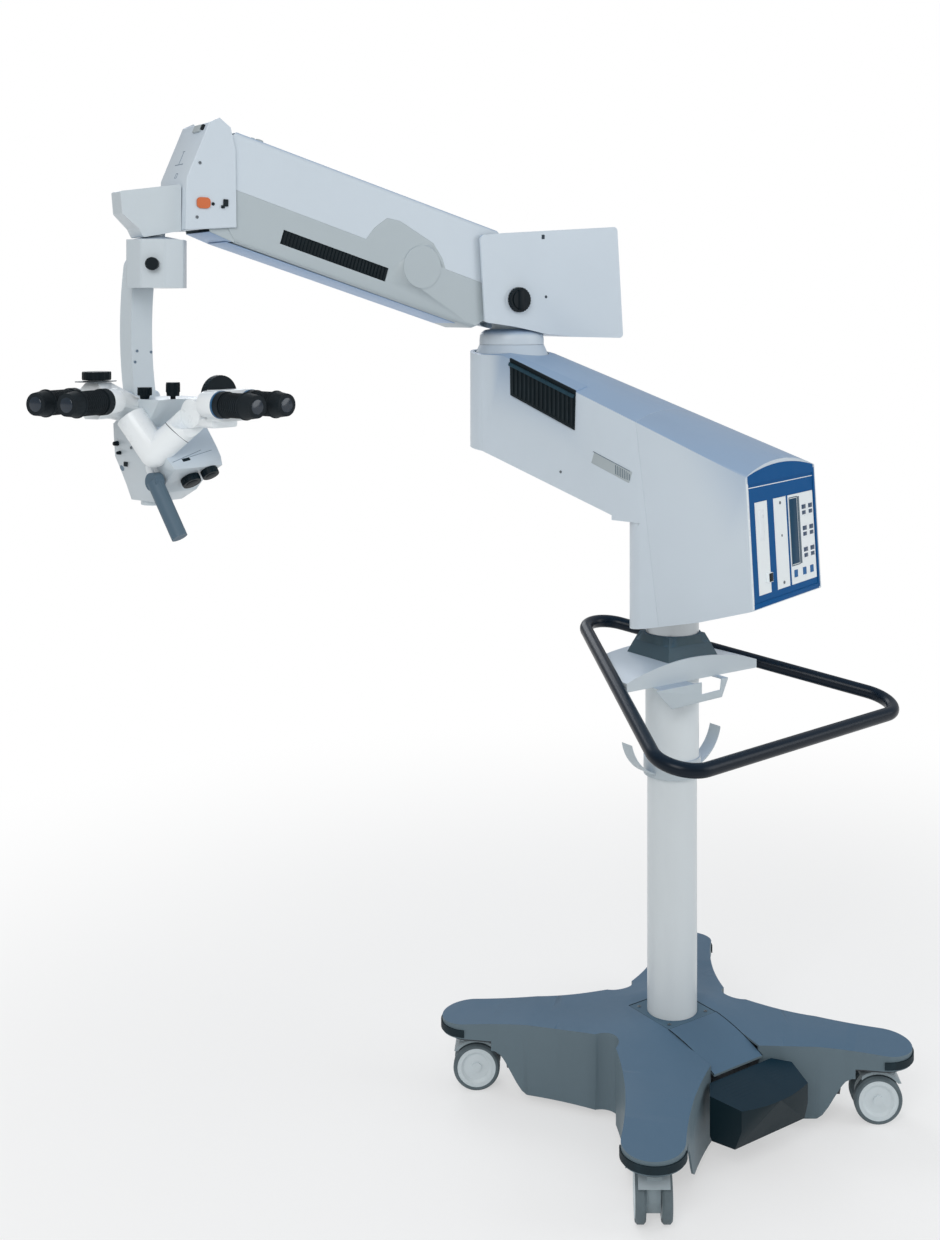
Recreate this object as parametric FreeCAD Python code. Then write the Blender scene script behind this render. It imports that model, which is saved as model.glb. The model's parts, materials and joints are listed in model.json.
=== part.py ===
import FreeCAD, Part
import math
import os

V = FreeCAD.Vector

# Driving dimensions in millimetres and degrees

# Fits and walls
running_fit = 0.05
seat_gap = 0.3
swing_gap = 3.0
cover_wall = 4.0

# Rolling base
castor_circle = 440.0
leg_tip_radius = 60.0
leg_mid_reach = 310.0
leg_mid_half = 66.0
leg_root_reach = 152.0
leg_root_half = 103.0
base_waist = 155.0
base_hub_height = 194.0
base_hub_flat = 92.0
base_shoulder_reach = 170.0
base_shoulder_height = 179.0
base_mid_height = 168.0
base_leg_height = 148.0
skirt_bottom = 20.0
castor_well_radius = 84.0
castor_well_height = 124.0
bumper_bottom = 128.0
bumper_top = 143.0
bumper_stand_out = 3.0
foot_plate_half = 66.0
foot_plate_thickness = 3.0
chassis_bottom = 62.0
chassis_top = 136.0
chassis_arm_width = 86.0
chassis_hub_radius = 98.0
chassis_boss_radius = 65.5

# Castors
wheel_radius = 50.0
wheel_width = 20.0
wheel_tyre_depth = 9.0
tyre_chamfer = 4.0
castor_width = 69.0
castor_trail = 16.0
castor_stem_radius = 9.0
castor_stem_length = 32.0
castor_axle_radius = 6.0
castor_plate_top = 112.0
castor_plate_radius = 27.0
castor_headings = {"front_left": 53.8, "front_right": 143.8, "rear_right": 233.8, "rear_left": 323.8}

# Brake pedal and front cover
pedal_back = -213.0
pedal_front = -325.0
pedal_front_corner = -311.0
pedal_widest = -244.0
pedal_half_back = 84.0
pedal_half_widest = 112.0
pedal_half_front = 90.0
pedal_back_height = 150.0
pedal_front_height = 137.0
pedal_bottom = 60.0
pedal_bottom_front = -297.0
pedal_wall = 5.0
pedal_side_wall = 10.0
pedal_pin_y = -225.0
pedal_pin_height = 124.0
pedal_pin_radius = 6.0
pedal_lug_radius = 13.0
pedal_lug_centre = 46.0
pedal_lug_thickness = 12.0
front_plate_half = 66.0
front_plate_end = -206.0
front_plate_end_height = 158.0
front_plate_sag = 12.0

# Column
column_radius = 53.0
column_foot = 80.0
column_top = 990.0
sleeve_radius = 57.0
sleeve_bottom = 736.0
clamp_radius = 61.0
clamp_bottom = 698.0
clamp_height = 38.0
hook_reach = 123.0
hook_top = 779.0
hook_width = 34.0
hook_thickness = 4.0

# Wing plate, push handle, cone and collar
wing_half_span = 180.0
wing_front = -70.0
wing_back = 96.0
wing_back_half_span = 104.0
wing_bottom = 909.0
wing_end_thickness = 18.0
wing_crest = 956.0
strap_plane = -95.0
strap_thickness = 3.0
cone_half = 68.0
cone_waist_half = 60.0
cone_top_half = 49.0
cone_height = 46.0
collar_radius = 57.0
collar_height = 40.0
bearing_stub_radius = 40.0
bearing_stub_height = 92.0
handle_tube_radius = 14.0
handle_corner_radius = 62.0
handle_front = -352.9
handle_front_half = 381.6
handle_apex = 301.0
handle_level = 908.5
handle_slope = 0.235
handle_heading = 5.86

# Lower arm, along its own heading from the column
lower_arm_heading = 108.7
lower_arm_reach = 428.0
panel_bottom_reach = 273.0
panel_top_reach = 257.0
panel_bottom_height = 1097.0
panel_top_height = 1356.0
panel_half_width = 155.0
pivot_end_radius = 95.0
arm_top_height = 1582.0
arm_top_start = 378.0
arm_crown = 25.0
arm_end_crown = 10.0
arm_bottom_height = 1366.0
arm_bottom_end = 440.0
arm_knee_reach = 12.0
arm_knee_height = 1226.0
leg_foot_height = 1012.0
leg_mid_height = 1060.0
leg_end_reach = 72.0
arm_wall = 5.0
seam_top_reach = 4.0
seam_bottom_reach = 52.0
neck_radius = 74.0
neck_flare = 12.0
neck_height = 22.0
pivot_bearing_radius = 46.0
pivot_flange_radius = 84.0
pivot_spindle_radius = 24.0
grip_block_thickness = 3.0
grip_block_wrap = 25.0

# Control panel, places measured across the panel from its middle and up from the floor
panel_rim = 11.0
panel_thickness = 6.0
panel_set_back = 1.0
panel_pocket = 3.0
panel_plate_proud = 0.8
panel_plate_top = 1304.0
panel_plate_bottom = 1122.0
door_middle = 95.0
door_width = 52.0
strip_middle = 13.0
strip_width = 54.0
keypad_middle = -80.5
keypad_width = 115.0
display_middle = -46.0
display_width = 34.0
display_top = 1296.0
display_bottom = 1162.0
button_middles = (-42.0, -82.0, -116.0)
button_height = 1143.0
button_size = 15.0
button_proud = 1.8
door_hinge_relief = 5.0
door_handle_height = 1153.0
door_handle_width = 18.0
door_handle_depth = 6.0

# Pivot box and spring arm
box_half_width = 75.0
box_wall = 5.0
box_front = -272.0
box_front_low = -259.0
box_back = 113.0
box_back_low = 131.0
box_mouth = -190.0
box_front_top = 1848.0
box_back_top = 1879.0
box_front_bottom = 1656.0
box_back_bottom = 1617.0
box_edge_round = 10.0
balance_knob_x = -171.5
balance_knob_height = 1706.0
balance_knob_radius = 24.0
balance_knob_depth = 14.0
balance_shaft_radius = 6.0
link_length = 685.0
link_rise = 17.0
link_pin_x = -235.0
link_pin_height = 1760.0
link_spacing = 85.0
link_pin_radius = 9.0
link_half_width = 30.0
upper_link_half_height = 24.0
lower_link_half_height = 12.0
lower_link_half_width = 14.0
frame_cheek = 9.0
cheek_gap = 1.0
arm_cover_half_width = 62.0
arm_cover_top_rear = 101.6
arm_cover_top_front = 88.9
arm_cover_bottom = 125.0
arm_cover_seam = 23.0
cover_boss_radius = 8.0

# Front housing and suspension
front_half_width = 68.0
front_back = 45.0
front_nose_top = 10.0
front_nose_low = 56.0
front_top = 90.0
front_bottom = 122.0
front_slant_height = 20.0
release_button_x = -22.0
release_button_height = -68.0
release_button_width = 28.0
release_button_tall = 22.0
release_button_proud = 3.0
suspension_reach = 90.0
wedge_half_width = 48.0
wedge_front_half_width = 24.0
knuckle_bottom = 1726.0
knuckle_top = 1820.0
knuckle_flat = 55.0
knuckle_stem_radius = 16.0
knuckle_stem_top = 1885.0
knuckle_back = 35.0
tilt_knob_radius = 12.5
tilt_knob_height = 1772.0
small_shaft_radius = 5.0

# Carrier and head, in a frame turned about the suspension axis
head_heading = 16.0
carrier_half_width = 25.0
carrier_half_depth = 18.0
carrier_pin_radius = 8.0
carrier_pivot_height = 1765.0
carrier_mid_height = 1640.0
carrier_mid_offset = 66.0
carrier_top_offset = 55.0
tilt_axis_offset = 52.0
tilt_axis_height = 1505.0
carrier_eye_radius = 20.0
ear_thickness = 10.0
body_top = 1512.0
body_bottom = 1312.0
objective_radius = 30.0
objective_inner = 24.0
objective_bottom = 1303.0
eyepiece_half_spacing = 35.0
eyepiece_radius = 25.0
main_tube_radius = 28.0
binocular_radius = 28.0
binocular_half_width = 34.0
binocular_y = -146.0
binocular_height = 1488.0
eyepiece_height = 1508.0
binocular_back = -195.0
eyepiece_start = -240.0
eyepiece_end = -338.0
interpupillary_radius = 38.0
interpupillary_depth = 13.0
interpupillary_height = 1522.0
tube_lock_place = V(-52, -32, 0)
observer_lock_place = V(-18, -74, 0)
observer_heading = 196.0
observer_reach = 118.0
observer_height = 1512.0
observer_radius = 34.0
observer_eyepiece_start = 45.0
observer_eyepiece_end = 150.0
head_knob_shaft = 12.0
focus_knob_radius = 18.0
zoom_knob_radius = 16.0
head_knob_height = 14.0
grip_radius = 15.0
grip_pivot = V(-54.5, -80.0, 1358.0)
grip_end = V(-58.0, -146.0, 1257.0)
grip_hub_width = 20.0


# Small builders

def face_of(points):
    return Part.Face(Part.makePolygon(points + [points[0]]))


def prism_xz(points, y_low, y_high):
    """Extrude an outline drawn in X and Z along Y."""
    face = face_of([V(x, y_low, z) for x, z in points])
    return face.extrude(V(0, y_high - y_low, 0))


def prism_xy(points, z_low, z_high):
    """Extrude an outline drawn in X and Y upwards."""
    face = face_of([V(x, y, z_low) for x, y in points])
    return face.extrude(V(0, 0, z_high - z_low))


def prism_yz(points, x_low, x_high):
    """Extrude an outline drawn in Y and Z along X."""
    face = face_of([V(x_low, y, z) for y, z in points])
    return face.extrude(V(x_high - x_low, 0, 0))


def block(x_low, x_high, y_low, y_high, z_low, z_high):
    return Part.makeBox(x_high - x_low, y_high - y_low, z_high - z_low, V(x_low, y_low, z_low))


def rod(radius, start, end):
    return Part.makeCylinder(radius, (end - start).Length, start, end - start)


def cone(start_radius, end_radius, start, end):
    return Part.makeCone(start_radius, end_radius, (end - start).Length, start, end - start)


def tube(outer, inner, start, end):
    return rod(outer, start, end).cut(rod(inner, start, end))


def line(start, end):
    return Part.LineSegment(start, end).toShape()


def arc(start, middle, end):
    return Part.Arc(start, middle, end).toShape()


def edges_along(shape, direction):
    """Straight edges of a shape that run along a direction."""
    found = []
    for edge in shape.Edges:
        if edge.Curve.TypeId == "Part::GeomLine":
            course = edge.tangentAt(edge.FirstParameter)
            if abs(abs(course.dot(direction)) - 1.0) < 1e-6:
                found.append(edge)
    return found


def round_along(shape, direction, radius):
    return shape.makeFillet(radius, edges_along(shape, direction))


def turned(shape, heading, centre=V(0, 0, 0)):
    """Turn a copy of a shape about a vertical line."""
    copy = shape.copy()
    copy.rotate(centre, V(0, 0, 1), heading)
    return copy


def moved(shape, offset):
    copy = shape.copy()
    copy.translate(offset)
    return copy


def fused(shapes):
    joined = shapes[0].fuse(shapes[1:])
    return joined.removeSplitter()


def turned_point(point, heading):
    angle = math.radians(heading)
    return V(point.x * math.cos(angle) - point.y * math.sin(angle),
             point.x * math.sin(angle) + point.y * math.cos(angle), point.z)


def offset_outline(points, inset):
    """Move every side of a closed outline inwards by the same amount."""
    count = len(points)
    area = 0.0
    for i in range(count):
        following = points[(i + 1) % count]
        area += points[i][0] * following[1] - following[0] * points[i][1]
    turn = 1.0 if area > 0 else -1.0
    lines = []
    for i in range(count):
        x_a, z_a = points[i]
        x_b, z_b = points[(i + 1) % count]
        length = math.hypot(x_b - x_a, z_b - z_a)
        n_x = -turn * (z_b - z_a) / length
        n_z = turn * (x_b - x_a) / length
        lines.append((x_a + n_x * inset, z_a + n_z * inset, (x_b - x_a) / length, (z_b - z_a) / length))
    moved_points = []
    for i in range(count):
        x_a, z_a, dx_a, dz_a = lines[i - 1]
        x_b, z_b, dx_b, dz_b = lines[i]
        cross = dx_a * dz_b - dz_a * dx_b
        share = ((x_b - x_a) * dz_b - (z_b - z_a) * dx_b) / cross
        moved_points.append((x_a + dx_a * share, z_a + dz_a * share))
    return moved_points


nodes = {}


def keep(name, *solids):
    """Keep one solid, or a group of separate solids, under a node's name."""
    nodes[name] = solids[0] if len(solids) == 1 else Part.makeCompound(list(solids))


# Places worked out from the dimensions
origin = V(0, 0, 0)
up = V(0, 0, 1)
diagonal = castor_circle / math.sqrt(2.0)
castor_places = {
    "front_left": V(-diagonal, -diagonal, 0),
    "front_right": V(diagonal, -diagonal, 0),
    "rear_left": V(-diagonal, diagonal, 0),
    "rear_right": V(diagonal, diagonal, 0),
}
pivot = turned_point(V(lower_arm_reach, 0, 0), lower_arm_heading)
rise = math.radians(link_rise)
rear_pin = V(link_pin_x, pivot.y, link_pin_height)
front_pin = rear_pin + V(-link_length * math.cos(rise), 0, link_length * math.sin(rise))
drop = V(0, 0, -link_spacing)
suspension = V(front_pin.x - suspension_reach, pivot.y, 0)
cheek_inner = link_half_width + cheek_gap
cheek_outer = cheek_inner + frame_cheek


# Rolling base

def leg_outline(inset):
    """Cross-shaped plan: four round leg tips joined by hollow sides, all moved in by an inset."""
    tip = leg_tip_radius - inset
    mid = leg_mid_half - inset
    root = leg_root_half - inset
    edges = []
    for quarter in range(4):
        heading = 45 + 90 * quarter
        right_tip = turned_point(V(castor_circle, -tip, 0), heading)
        outer = turned_point(V(castor_circle + tip, 0, 0), heading)
        left_tip = turned_point(V(castor_circle, tip, 0), heading)
        left_mid = turned_point(V(leg_mid_reach, mid, 0), heading)
        left_root = turned_point(V(leg_root_reach, root, 0), heading)
        hollow = turned_point(V(base_waist - inset, 0, 0), heading + 45)
        next_root = turned_point(V(leg_root_reach, -root, 0), heading + 90)
        next_mid = turned_point(V(leg_mid_reach, -mid, 0), heading + 90)
        next_tip = turned_point(V(castor_circle, -tip, 0), heading + 90)
        edges.append(arc(right_tip, outer, left_tip))
        edges.append(arc(left_tip, left_mid, left_root))
        edges.append(arc(left_root, hollow, next_root))
        edges.append(arc(next_root, next_mid, next_tip))
    return Part.Face(Part.Wire(edges))


def base_form(inset, low):
    """Solid cross with a roof that falls from the hub to the leg tips."""
    plan = leg_outline(inset)
    plan.translate(V(0, 0, low))
    walls = plan.extrude(V(0, 0, base_hub_height))
    reach = castor_circle + leg_tip_radius + 30
    axis_low = V(0, 0, low - 1)
    axis_top = V(0, 0, base_hub_height - inset)
    flat_end = V(base_hub_flat, 0, base_hub_height - inset)
    shoulder = V(base_shoulder_reach, 0, base_shoulder_height - inset)
    leg_start = V(leg_mid_reach, 0, base_mid_height - inset)
    leg_end = V(reach, 0, base_leg_height - inset)
    rim_low = V(reach, 0, low - 1)
    profile = [line(axis_low, axis_top), line(axis_top, flat_end), arc(flat_end, shoulder, leg_start),
               line(leg_start, leg_end), line(leg_end, rim_low), line(rim_low, axis_low)]
    roof = Part.Face(Part.Wire(profile)).revolve(origin, up, 360)
    return walls.common(roof)


def base_cover():
    """Thin moulded cover over the chassis, open round each castor, the column and the pedal."""
    shell = base_form(0, skirt_bottom).cut(base_form(cover_wall, skirt_bottom - 5))
    for place in castor_places.values():
        shell = shell.cut(rod(castor_well_radius, place, place + V(0, 0, castor_well_height)))
    plate_half = foot_plate_half + seat_gap
    shell = shell.cut(block(-plate_half, plate_half, -plate_half, plate_half,
                            base_hub_height - cover_wall - 1, base_hub_height + 5))
    front_half = front_plate_half + seat_gap
    return shell.cut(block(-front_half, front_half, front_plate_end, -foot_plate_half + 1,
                           pedal_bottom - 5, base_hub_height + 5))


def foot_plate():
    bottom = base_hub_height - cover_wall
    plate = block(-foot_plate_half, foot_plate_half, -foot_plate_half, foot_plate_half,
                  bottom, bottom + foot_plate_thickness)
    return plate.cut(rod(column_radius + seat_gap, V(0, 0, 0), V(0, 0, base_hub_height + 10)))


def front_cover_plate():
    """Plate that falls from the column foot to the back of the pedal."""
    back = -foot_plate_half - seat_gap
    middle = 0.5 * (back + front_plate_end)
    middle_height = base_hub_height - front_plate_sag

    def edge(height):
        return arc(V(0, back, base_hub_height - height), V(0, middle, middle_height - height),
                   V(0, front_plate_end, front_plate_end_height - height))

    wire = Part.Wire([edge(0),
                      line(V(0, front_plate_end, front_plate_end_height),
                           V(0, front_plate_end, front_plate_end_height - cover_wall)),
                      edge(cover_wall),
                      line(V(0, back, base_hub_height - cover_wall), V(0, back, base_hub_height))])
    plate = Part.Face(wire).extrude(V(2 * front_plate_half, 0, 0))
    return moved(plate, V(-front_plate_half, 0, 0))


def bumper(place):
    """Rubber strip that wraps the round tip of a leg."""
    low = place + V(0, 0, bumper_bottom)
    high = place + V(0, 0, bumper_top)
    ring = tube(leg_tip_radius + bumper_stand_out, leg_tip_radius + seat_gap, low, high)
    heading = math.degrees(math.atan2(place.y, place.x))
    reach = 2 * leg_tip_radius
    outer_side = turned(block(0, reach, -reach, reach, bumper_bottom - 1, bumper_top + 1), heading)
    return ring.common(moved(outer_side, place))


def base_chassis():
    """Cast cross with a column socket, four castor bosses and two pedal lugs."""
    pieces = [rod(chassis_hub_radius, V(0, 0, chassis_bottom), V(0, 0, chassis_top)),
              rod(chassis_boss_radius, V(0, 0, chassis_top), V(0, 0, base_hub_height - cover_wall))]
    under = castor_plate_top + 1
    for place in castor_places.values():
        heading = math.degrees(math.atan2(place.y, place.x))
        clear = castor_circle - castor_well_radius - 6
        arm = prism_xz([(20, chassis_bottom), (clear, chassis_bottom), (clear + 8, under),
                        (castor_circle, under), (castor_circle, chassis_top), (20, chassis_top)],
                       -chassis_arm_width / 2, chassis_arm_width / 2)
        pieces.append(turned(arm, heading))
        pieces.append(rod(chassis_arm_width / 2, place + V(0, 0, under), place + V(0, 0, chassis_top)))
    for side in (-1, 1):
        centre = side * pedal_lug_centre
        low = centre - pedal_lug_thickness / 2
        high = centre + pedal_lug_thickness / 2
        pieces.append(block(low, high, pedal_pin_y, -chassis_hub_radius + 30,
                            pedal_pin_height - pedal_lug_radius, pedal_pin_height + pedal_lug_radius))
        pieces.append(rod(pedal_lug_radius, V(low, pedal_pin_y, pedal_pin_height),
                          V(high, pedal_pin_y, pedal_pin_height)))
    body = fused(pieces)
    for place in castor_places.values():
        body = body.cut(rod(castor_stem_radius + running_fit, place, place + V(0, 0, base_hub_height)))
    reach = pedal_half_widest
    body = body.cut(rod(pedal_pin_radius + running_fit, V(-reach, pedal_pin_y, pedal_pin_height),
                        V(reach, pedal_pin_y, pedal_pin_height)))
    return body.cut(rod(column_radius, V(0, 0, column_foot), V(0, 0, base_hub_height + 10)))


# Castors, drawn at the origin with the trail along X

def castor_fork():
    """Stem, round plate and the narrow hood that carries both wheels."""
    stem = rod(castor_stem_radius, V(0, 0, castor_plate_top - 4), V(0, 0, castor_plate_top + castor_stem_length))
    plate = rod(castor_plate_radius, V(0, 0, castor_plate_top - 10), V(0, 0, castor_plate_top))
    half = castor_width / 2 - wheel_width - 1.0
    leg = prism_xz([(-24, castor_plate_top - 9), (24, castor_plate_top - 9), (castor_trail + 14, 22),
                    (castor_trail - 12, 18), (castor_trail - 26, 46)], -half, half)
    leg = round_along(leg, V(0, 1, 0), 6)
    hood_half = castor_width / 2 - 5
    hood = tube(wheel_radius + 9, wheel_radius + 3, V(castor_trail, -hood_half, wheel_radius),
                V(castor_trail, hood_half, wheel_radius))
    hood = hood.common(block(-70, 50, -60, 60, wheel_radius + 34, castor_plate_top - 2))
    body = fused([stem, plate, leg, hood])
    axle_hole = rod(castor_axle_radius + running_fit, V(castor_trail, -castor_width, wheel_radius),
                    V(castor_trail, castor_width, wheel_radius))
    return body.cut(axle_hole)


def tyre(inner_y, side):
    """Ring with chamfered shoulders round one wheel disc."""
    bore = wheel_radius - wheel_tyre_depth
    shoulder = wheel_radius - tyre_chamfer
    width = wheel_width
    outline = [(bore, 0), (shoulder, 0), (wheel_radius, tyre_chamfer), (wheel_radius, width - tyre_chamfer),
               (shoulder, width), (bore, width)]
    face = face_of([V(castor_trail, side * (inner_y + across), wheel_radius + radius)
                    for radius, across in outline])
    return face.revolve(V(castor_trail, 0, wheel_radius), V(0, 1, 0), 360)


def castor_wheels():
    """Two discs on one axle, each in its tyre."""
    outer = castor_width / 2
    inner = outer - wheel_width
    disc_radius = wheel_radius - wheel_tyre_depth
    centre = V(castor_trail, 0, wheel_radius)
    discs = [rod(castor_axle_radius, centre + V(0, -outer + 2, 0), centre + V(0, outer - 2, 0))]
    tyres = []
    for side in (-1, 1):
        disc = rod(disc_radius, centre + V(0, side * (inner + 1), 0), centre + V(0, side * (outer - 1), 0))
        dish = cone(disc_radius - 14, disc_radius - 8, centre + V(0, side * (outer - 5), 0),
                    centre + V(0, side * (outer - 1), 0))
        hub = rod(castor_axle_radius + 4, centre + V(0, side * (inner + 1), 0), centre + V(0, side * (outer - 2), 0))
        discs.append(disc.cut(dish))
        discs.append(hub)
        tyres.append(tyre(inner, side))
    return [fused(discs)] + tyres


# Brake pedal

def brake_pedal():
    """Hollow wedge that tips about a pin at its back edge."""
    back = [V(-pedal_half_back, pedal_back, 0), V(pedal_half_back, pedal_back, 0)]
    wide = [V(pedal_half_widest, pedal_widest, 0), V(-pedal_half_widest, pedal_widest, 0)]
    front = [V(pedal_half_front, pedal_front_corner, 0), V(-pedal_half_front, pedal_front_corner, 0)]
    plan = Part.Wire([line(back[0], back[1]), line(back[1], wide[0]), line(wide[0], front[0]),
                      arc(front[0], V(0, pedal_front, 0), front[1]), line(front[1], wide[1]),
                      line(wide[1], back[0])])
    form = Part.Face(plan).extrude(V(0, 0, pedal_back_height))
    heel = pedal_pin_height - pedal_pin_radius
    side = [(pedal_back, heel), (pedal_back, pedal_back_height), (pedal_front, pedal_front_height),
            (pedal_bottom_front, pedal_bottom), (pedal_widest - pedal_wall, pedal_bottom)]
    form = form.common(prism_yz(side, -2 * pedal_half_widest, 2 * pedal_half_widest))
    hollow_half = pedal_half_back - pedal_side_wall
    hollow = prism_yz([(pedal_back + 1, pedal_bottom - 1), (pedal_back + 1, pedal_back_height - pedal_wall),
                       (pedal_front_corner, pedal_front_height - pedal_wall),
                       (pedal_bottom_front + 2 * pedal_wall, pedal_bottom - 1)], -hollow_half, hollow_half)
    form = form.cut(hollow)
    pin_end = hollow_half + 0.5 * pedal_side_wall
    pin = rod(pedal_pin_radius, V(-pin_end, pedal_pin_y, pedal_pin_height), V(pin_end, pedal_pin_y, pedal_pin_height))
    return fused([form, pin])


# Column and what it carries

def hook_clamp():
    """Ring round the column with two upturned hooks."""
    ring = tube(clamp_radius, column_radius, V(0, 0, clamp_bottom), V(0, 0, clamp_bottom + clamp_height))
    start = clamp_radius - 2
    low = clamp_bottom + 12
    middle = 0.5 * (start + hook_reach)
    dip = low + 0.25 * (hook_top - low)

    def sweep(height):
        return arc(V(start, 0, low + height), V(middle, 0, dip + height), V(hook_reach, 0, hook_top + height))

    wire = Part.Wire([sweep(0), line(V(hook_reach, 0, hook_top), V(hook_reach, 0, hook_top - hook_thickness)),
                      sweep(-hook_thickness), line(V(start, 0, low - hook_thickness), V(start, 0, low))])
    hook = moved(Part.Face(wire).extrude(V(0, hook_width, 0)), V(0, -hook_width / 2, 0))
    return fused([ring, hook, turned(hook, 180)])


def accessory_bracket():
    """Bent strap with a window, hung from the wing plate at the front."""
    strap = prism_xz([(-123, 905), (-84, 866), (54, 870), (71, 906), (71, wing_bottom), (-123, wing_bottom)],
                     strap_plane - strap_thickness, strap_plane)
    window = prism_xz([(-2, 918), (-2, 884), (50, 886), (54, 918)],
                      strap_plane - 2 * strap_thickness, strap_plane + strap_thickness)
    tabs = []
    for low, high in ((-110, -20), (56, 71)):
        tabs.append(block(low, high, strap_plane - strap_thickness, -sleeve_radius - seat_gap,
                          wing_bottom - strap_thickness, wing_bottom))
    return fused([strap.cut(window)] + tabs)


def wing_form():
    """Arched plate, flat below and crowned above, tapered towards the back."""
    ends = wing_bottom + wing_end_thickness
    left = V(-wing_half_span, wing_front, ends)
    right = V(wing_half_span, wing_front, ends)
    right_low = V(wing_half_span, wing_front, wing_bottom)
    left_low = V(-wing_half_span, wing_front, wing_bottom)
    outline = [arc(left, V(0, wing_front, wing_crest), right), line(right, right_low),
               line(right_low, left_low), line(left_low, left)]
    plate = Part.Face(Part.Wire(outline)).extrude(V(0, wing_back - wing_front, 0))
    plan = prism_xy([(-wing_half_span, wing_front - 1), (wing_half_span, wing_front - 1),
                     (wing_half_span, wing_front + 20), (wing_back_half_span, wing_back),
                     (-wing_back_half_span, wing_back), (-wing_half_span, wing_front + 20)],
                    wing_bottom - 1, wing_crest + 1)
    return plate.common(plan)


def wing_plate():
    plate = wing_form().cut(rod(sleeve_radius, V(0, 0, wing_bottom - 5), V(0, 0, wing_crest + 5)))
    return plate.cut(push_handle(handle_tube_radius + seat_gap))


def cone_cover():
    """Square cover with hollow sides between the wing plate and the arm bearing."""
    base = cone_base()
    sections = []
    for half, height in ((cone_half, base), (cone_waist_half, base + 0.45 * cone_height),
                         (cone_top_half, base + cone_height)):
        corners = [V(-half, -half, height), V(half, -half, height), V(half, half, height),
                   V(-half, half, height)]
        sections.append(Part.makePolygon(corners + [corners[0]]))
    form = Part.makeLoft(sections, True, True)
    form = form.cut(rod(column_radius + seat_gap, V(0, 0, base - 1), V(0, 0, base + cone_height + 1)))
    return form.cut(wing_form())


def cone_base():
    return wing_crest - 4


def cone_top():
    return cone_base() + cone_height


def arm_bearing_collar():
    """Fixed ring and stub that the lower arm turns on, spigoted into the column."""
    bottom = cone_top()
    ring = rod(collar_radius, V(0, 0, bottom), V(0, 0, bottom + collar_height))
    stub = rod(bearing_stub_radius, V(0, 0, bottom), V(0, 0, bottom + bearing_stub_height + collar_height))
    spigot = rod(column_radius - cover_wall, V(0, 0, column_top - 40), V(0, 0, bottom))
    return fused([ring, stub, spigot])


def handle_point(x, y):
    return turned_point(V(x, y, handle_level + handle_slope * (y - wing_front)), handle_heading)


def push_handle(radius):
    """Closed tube loop round the column, a triangle with round corners in a sloping plane."""
    corners = [handle_point(-handle_front_half, handle_front), handle_point(handle_front_half, handle_front),
               handle_point(0, handle_apex)]
    count = len(corners)
    normal = (corners[1] - corners[0]).cross(corners[2] - corners[0]).normalize()
    pieces = []
    ends = []
    for index in range(count):
        corner = corners[index]
        to_last = (corners[index - 1] - corner).normalize()
        to_next = (corners[(index + 1) % count] - corner).normalize()
        half = to_last.getAngle(to_next) / 2
        back = handle_corner_radius / math.tan(half)
        centre = corner + (to_last + to_next).normalize() * (handle_corner_radius / math.sin(half))
        first = corner + to_last * back
        last = corner + to_next * back
        section = Part.Face(Part.Wire(Part.makeCircle(radius, first, to_last)))
        pieces.append(section.revolve(centre, normal, 180 - math.degrees(2 * half)))
        ends.append((first, last))
    for index in range(count):
        pieces.append(rod(radius, ends[index][1], ends[(index + 1) % count][0]))
    return fused(pieces)


# Lower arm, drawn along X from the column and then turned

def arm_slope():
    """Angle between each side of the plan and the arm's middle line."""
    return math.asin((panel_half_width - pivot_end_radius) / (lower_arm_reach + panel_bottom_reach))


def arm_plan_half_width(x, inset):
    narrow = pivot_end_radius - inset
    slope = arm_slope()
    return narrow / math.cos(slope) + (lower_arm_reach - x) * math.tan(slope)


def arm_plan(inset, low, high):
    """Plan of the arm: wide at the panel, narrow and round at the pivot."""
    narrow = pivot_end_radius - inset
    reach = panel_bottom_reach + 30
    slope = arm_slope()
    tangent_x = lower_arm_reach + narrow * math.sin(slope)
    tangent_y = narrow * math.cos(slope)
    wide_y = arm_plan_half_width(-reach, inset)
    edges = [
        line(V(-reach, -wide_y, low), V(tangent_x, -tangent_y, low)),
        arc(V(tangent_x, -tangent_y, low), V(lower_arm_reach + narrow, 0, low), V(tangent_x, tangent_y, low)),
        line(V(tangent_x, tangent_y, low), V(-reach, wide_y, low)),
        line(V(-reach, wide_y, low), V(-reach, -wide_y, low)),
    ]
    return Part.Face(Part.Wire(edges)).extrude(V(0, 0, high - low))


def panel_face_x(z):
    share = (z - panel_bottom_height) / (panel_top_height - panel_bottom_height)
    return -panel_bottom_reach + share * (panel_bottom_reach - panel_top_reach)


def arm_side_outline():
    """Side view of the lower arm without its roof: panel end and leg below, open above."""
    above = arm_top_height + 2 * arm_crown
    return [
        (-panel_bottom_reach, panel_bottom_height),
        (-0.55 * panel_bottom_reach, leg_mid_height),
        (-arm_knee_reach, leg_foot_height + 16),
        (leg_end_reach, leg_foot_height),
        (leg_end_reach, arm_knee_height + 28),
        (arm_bottom_end, arm_bottom_height),
        (lower_arm_reach + pivot_end_radius + 10, arm_bottom_height + 8),
        (lower_arm_reach + pivot_end_radius + 10, above),
        (panel_face_x(above), above),
    ]


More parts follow.
